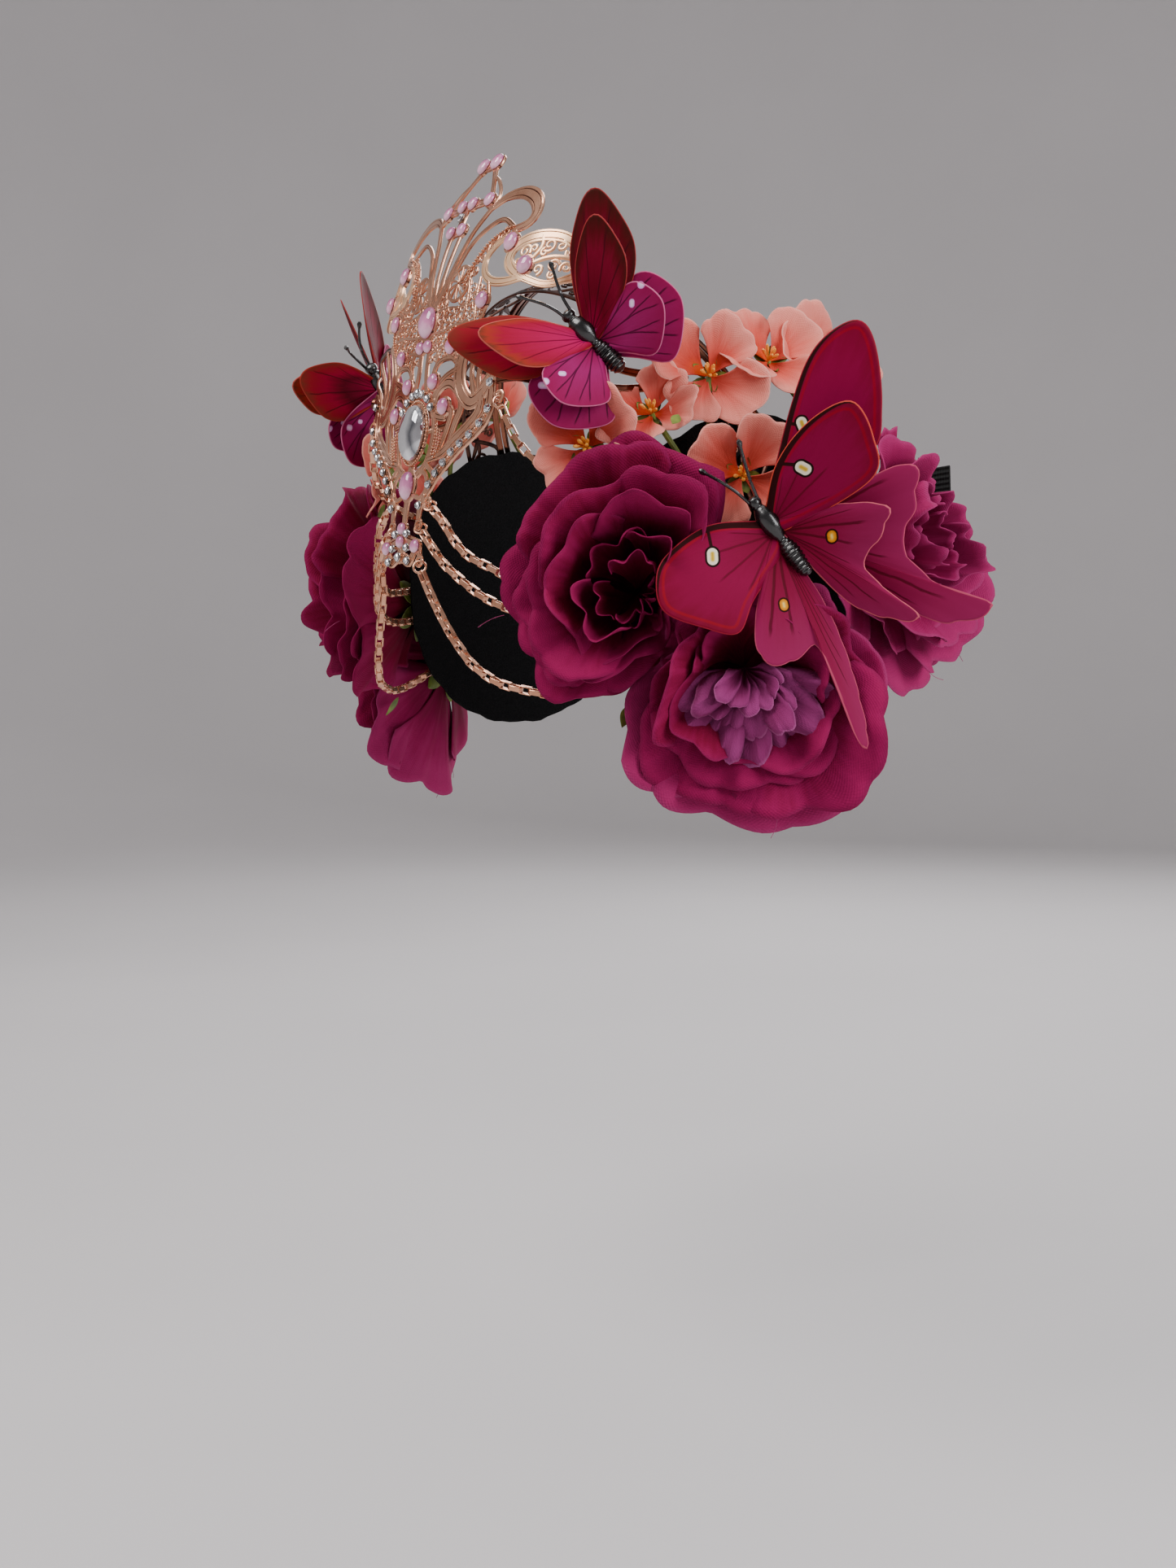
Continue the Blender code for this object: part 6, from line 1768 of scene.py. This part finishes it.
# %% The wing function
def wing(name, outline, rise, lift, finish, scallop=0.0, side=1):
    """point = root + v (outline - root); height = rise |x| + lift + bow sin(pi v)."""
    middle, aside, ahead, outward = flier_axes(name)
    rows = np.asarray(outline, float)
    line = smooth_line(np.vstack([rows, rows[:1]]), OUTLINE_STEP)[:-1] * (side, 1)
    first, last = rows[0, 1], rows[-1, 1]
    back = first - ROOT_BACK if abs(last - first) > WIDE_FOOT else (first + last) / 2
    root = np.array([rows[0, 0] * ROOT_ASIDE * side, back])
    u = np.arange(len(line)) / len(line)
    line = root + (line - root) * (1 + scallop * np.abs(np.sin(u * math.pi * SCALLOPS)))[:, None]
    v = WING_ROWS[:, None]
    flat = root + v[..., None] * (line - root)
    rim = rim_distance(flat, line)
    lead = np.interp(u, LEAD_PLACES, LEAD_WIDTHS) - rim
    height = rise * np.abs(flat[..., 0]) + lift + WING_BOW * np.sin(math.pi * v)
    points = (middle + flat[..., :1] * aside + flat[..., 1:] * ahead + height[..., None] * outward)
    return patch(points, u, v, around=True, finish=finish, side_mm=flat[..., 0],
                 ahead_mm=flat[..., 1], rim_mm=rim, lead_mm=lead, ray=u)


print("rows from root to rim:", len(WING_ROWS))


# %% [markdown]
# ## Wing finishes
# The print runs from the root to the rim, with dark veins that fan out and fork, a dark front
# edge, a pale cut edge, and spots. A spot is a short thick line on the wing: its middle, its
# ring and its outline are bands of one distance. A thin dark stem ties it to the front edge.


# %% Wing print
def line_distance(tree, start, end):
    """Distance in mm from the line between two places on the wing."""
    way = np.subtract(end, start)
    here = pair(tree, mark(tree, "side_mm"), mark(tree, "ahead_mm"))
    apart = node(tree, "VectorMath", {0: here, 1: (*start, 0.0)}, operation="SUBTRACT").outputs[0]
    along = node(tree, "VectorMath", {0: apart, 1: (*(way / (way @ way)), 0.0)},
                 operation="DOT_PRODUCT").outputs["Value"]
    share = node(tree, "Clamp", {0: along}).outputs[0]
    near = pair(tree, times(tree, share, way[0]), times(tree, share, way[1]))
    return node(tree, "VectorMath", {0: apart, 1: near}, operation="DISTANCE").outputs["Value"]


def wing_print(name, stops, vein, veins, edge, reach=1.2, forked=0.0, lead=None, spots=(),
               stems=()):
    """Printed cloth: stops run from root to rim; veins fan out as far as reach and fork."""
    made, tree, shader = material(name, 0.6, Specular_IOR_Level=0.08)
    _, v = surface(tree)
    ray, rim = mark(tree, "ray"), mark(tree, "rim_mm")
    streak = noise(tree, 1.0, pair(tree, times(tree, ray, 40.0), times(tree, v, 2.0)), 4.0)
    colour = ramp(tree, shifted(tree, v, streak, 0.30), stops)
    bend = maths(tree, "MULTIPLY_ADD", noise(tree, 90.0), 0.03, ray)
    fan = maths(tree, "FRACT", times(tree, bend, float(veins)))
    apart = maths(tree, "ABSOLUTE", maths(tree, "SUBTRACT", fan, 0.5))
    fork = times(tree, step_up(tree, v, 0.35, 1.0), forked)
    apart = maths(tree, "ABSOLUTE", maths(tree, "SUBTRACT", apart, fork))
    apart = times(tree, times(tree, apart, v), 90.0 / veins)
    line = times(tree, below(tree, apart, 0.14, 0.42), step_up(tree, rim, 0.8, 2.5))
    line = times(tree, line, below(tree, v, reach - 0.1, reach))
    colour = mixed(tree, times(tree, line, 0.75), colour, vein)
    if lead:
        inner = times(tree, below(tree, rim, 2.2, 2.7), step_up(tree, rim, 1.3, 2.0))
        colour = mixed(tree, times(tree, inner, 0.5), colour, (150, 14, 14))
        colour = mixed(tree, step_up(tree, mark(tree, "lead_mm"), -0.15, 0.2), colour, lead)
    for start, end in stems:
        colour = mixed(tree, below(tree, line_distance(tree, start, end), 0.35, 0.6), colour, lead)
    for start, end, radius, bands in spots:
        far = maths(tree, "DIVIDE", line_distance(tree, start, end), radius)
        colour = mixed(tree, below(tree, far, 0.96, 1.04), colour, ramp(tree, far, bands))
    colour_in(tree, shader, mixed(tree, below(tree, rim, 0.15, 0.35), colour, edge))
    bump_in(tree, shader, maths(tree, "MULTIPLY_ADD", line, -0.8, streak), 0.25, 0.0004)
    return made


# %% Spots and prints
CREAM_BANDS = [(0.0, (190, 150, 30)), (0.22, (214, 184, 80)),
               (0.34, (230, 220, 190)), (0.66, (236, 228, 204)), (0.75, (30, 4, 6))]
YELLOW_BANDS = [(0.0, (236, 206, 110)), (0.3, (216, 146, 20)),
                (0.66, (190, 112, 10)), (0.75, (40, 2, 6))]
LILAC_BANDS = [(0.0, (240, 220, 242)), (0.7, (222, 170, 220)),
               (0.98, (190, 96, 172))]
DARK_EDGE = (40, 6, 8)
TOP_RED = wing_print("crimson_print", [
    (0.0, (182, 10, 92)), (0.5, (162, 8, 66)), (0.80, (150, 14, 46)),
    (0.93, (150, 44, 32)), (1.04, (108, 48, 32))],
    (92, 4, 30), 9, (180, 84, 74))
# The crimson with painted shade, for both layers of wings on the shaded side
TOP_PAINTED_SHADE = wing_print("crimson_print_painted_shade", [
    (0.0, (150, 6, 58)), (0.35, (96, 2, 26)), (0.7, (112, 4, 36)),
    (0.88, (84, 8, 18)), (1.0, (58, 18, 12))], (56, 2, 16), 9, (150, 50, 50))
# The back upper wing under the front one: its dark middle band is the front wing's painted shadow
TOP_PAINTED_SHADOW = wing_print("crimson_print_painted_shadow", [
    (0.0, (150, 6, 58)), (0.45, (84, 2, 24)), (0.66, (142, 6, 44)),
    (0.88, (138, 20, 34)), (1.04, (112, 44, 32))],
    (60, 2, 16), 9, (150, 50, 40))
TOP_LILAC = wing_print("lilac_print", [
    (0.0, (126, 8, 60)), (0.45, (144, 28, 92)), (1.0, (134, 12, 70))],
    (38, 1, 22), 8, (196, 100, 140), 1.2, 0.22, spots=[
        ((side * 19.5, 0.2), (side * 20.5, 1.2), 1.1, LILAC_BANDS) for side in (1, -1)] + [
        ((side * 14.0, -1.6), (side * 14.6, -1.0), 0.8, LILAC_BANDS) for side in (1, -1)])
MOTH_STOPS = [(0.0, (112, 1, 42)), (0.5, (126, 1, 56)), (0.8, (122, 1, 52)),
              (1.0, (110, 2, 36))]
MOTH_VEIN = (84, 2, 26)
MOTH_BACK = wing_print("magenta_print", MOTH_STOPS, MOTH_VEIN, 7, (150, 30, 50), 0.6,
                       lead=DARK_EDGE,
                       stems=[((-18.7, 8.2), (-15.0, 15.5)), ((22.4, 21.6), (19.6, 25.0))],
                       spots=[((-19.9, 6.5), (-18.9, 7.9), 2.2, CREAM_BANDS),
                              ((23.1, 20.4), (23.5, 21.8), 2.0, CREAM_BANDS)])
MOTH_FRONT = wing_print("magenta_print_front", MOTH_STOPS, MOTH_VEIN, 7, (196, 70, 56), 0.6,
                        lead=DARK_EDGE, stems=[((15.0, 12.6), (12.0, 15.6))],
                        spots=[((15.7, 10.4), (15.1, 11.9), 2.1, CREAM_BANDS)])
ROSE_STOPS = [(0.0, (108, 2, 36)), (0.5, (120, 6, 52)), (1.0, (134, 26, 74))]
ROSE_VEIN = (66, 1, 12)
ROSE_BACK = wing_print("rose_print", ROSE_STOPS, ROSE_VEIN, 17, (176, 70, 96), 0.82,
                       spots=[((-11.6, -16.6), (-11.2, -15.8), 1.7, YELLOW_BANDS)])
ROSE_FRONT = wing_print("rose_print_front", ROSE_STOPS, ROSE_VEIN, 15, (196, 90, 104), 0.82,
                        spots=[((10.5, -9.4), (10.9, -8.6), 1.7, YELLOW_BANDS)])
print("wing prints ready")


# %% Bodies and feelers
BODY_LINE = [(0, 0), (0.02, 0.45), (0.08, 0.72), (0.2, 0.88), (0.34, 0.86), (0.43, 0.6),
             (0.47, 0.48), (0.53, 0.72), (0.63, 1.0), (0.75, 1.0), (0.83, 0.7), (0.87, 0.5),
             (0.91, 0.66), (0.96, 0.6), (0.99, 0.3), (1.0, 0)]
BODY_LIFT = 1.4
RIBS = 9
# Share of the body, from its tail, that is ribbed
RIBBED = 0.44


def flier_body(name):
    """A waisted body with a round head; the hind part is ribbed: r = profile (1 + 0.09 cos)."""
    middle, aside, ahead, outward = flier_axes(name)
    half_x, half_y = FLIERS[name]["body"]
    s = np.linspace(0, 1, 129)
    knots = smooth_line(BODY_LINE, 0.02)
    radius = half_x * np.interp(s, knots[:, 0], np.maximum(knots[:, 1], 0))
    radius[0] = radius[-1] = 0.0
    ribs = 1 + 0.09 * np.cos(2 * math.pi * RIBS * s / RIBBED) * (s < RIBBED)
    angle = circle(20)
    ring = np.cos(angle)[:, None] * aside + np.sin(angle)[:, None] * outward
    spine = middle + outward * BODY_LIFT + ahead * ((s - 0.5) * 2 * half_y)[:, None]
    points = spine[:, None] + ring[None] * (radius * ribs)[:, None, None]
    return patch(points, s[:, None], 0.5, around=True)


def feeler_patches(name):
    """Two thin feelers that end in a knob."""
    middle, aside, ahead, outward = flier_axes(name)
    out = []
    for side in (1, -1):
        flat = smooth_line(FLIERS[name]["feelers"], 0.8) * (side, 1)
        s = np.linspace(0, 1, len(flat))
        height = WING_RISE * np.abs(flat[:, 0]) + 0.8 + 2.2 * np.sin(math.pi * s)
        line = middle + flat[:, :1] * aside + flat[:, 1:] * ahead + height[:, None] * outward
        radius = np.interp(s, [0, 0.1, 0.88, 0.94, 0.98, 1.0], [0.62, 0.5, 0.46, 0.92, 0.92, 0.5])
        out.append(tube(line, radius, 8))
    return out


# How far out the upper and lower wings lie, at the back and in front, where they are smaller
BACK_LIFTS = (0.0, -0.5)
FRONT_LIFTS = (0.9, 0.5)
SECOND_SIZE = 0.78
LOWER_SCALLOP = 0.03
TOP_FINISHES = [TOP_RED, TOP_LILAC, TOP_PAINTED_SHADOW, TOP_PAINTED_SHADE]
MOTH_FINISHES = [MOTH_BACK, ROSE_BACK, MOTH_FRONT, ROSE_FRONT]


def top_wings():
    """On each side an upper and a lower wing at the back, then a smaller two in front."""
    out = []
    # Finish 3, the crimson with painted shade, covers the shaded side; finish 2 has the front
    # wing's painted shadow
    for side, back, front in ((1, 3, 3), (-1, 2, 0)):
        for size, rise, lifts, finish in ((1.0, WING_RISE, BACK_LIFTS, back),
                                          (SECOND_SIZE, SECOND_RISE, FRONT_LIFTS, front)):
            upper, lower = np.array(TOP_UPPER) * size, np.array(TOP_LOWER) * size
            out.append(wing("top_butterfly", upper, rise, lifts[0], finish, side=side))
            out.append(wing("top_butterfly", lower, rise, lifts[1], 1, side=side))
    return out


def moth_wings():
    """Four wings at the back, then two folded up in front; the lower ones are scalloped."""
    out = []
    for table, rise, lifts, finishes in ((MOTH, WING_RISE, BACK_LIFTS, (0, 1)),
                                         (MOTH_SECOND, SECOND_RISE, FRONT_LIFTS, (2, 3))):
        for name, rows in table.items():
            lower = int(name.endswith("lower"))
            out.append(wing("moth", rows, rise, lifts[lower], finishes[lower],
                            lower * LOWER_SCALLOP))
    return out


print("wings:", len(top_wings()), "and", len(moth_wings()))

# %% Make the butterflies
WING_WALL = 0.35
for flier, shapes, finishes in (("top_butterfly", top_wings(), TOP_FINISHES),
                                ("moth", moth_wings(), MOTH_FINISHES)):
    dark = [flier_body(flier)] + feeler_patches(flier)
    for (side_name, wings), (_, bodies) in zip(both_sides(shapes), both_sides(dark)):
        body = piece(f"{flier}_body_{side_name}", bodies, [BODY_BLACK])
        cloth_piece(f"{flier}_wings_{side_name}", wings, finishes,
                    [f"{flier}_{side_name}"], WING_WALL)
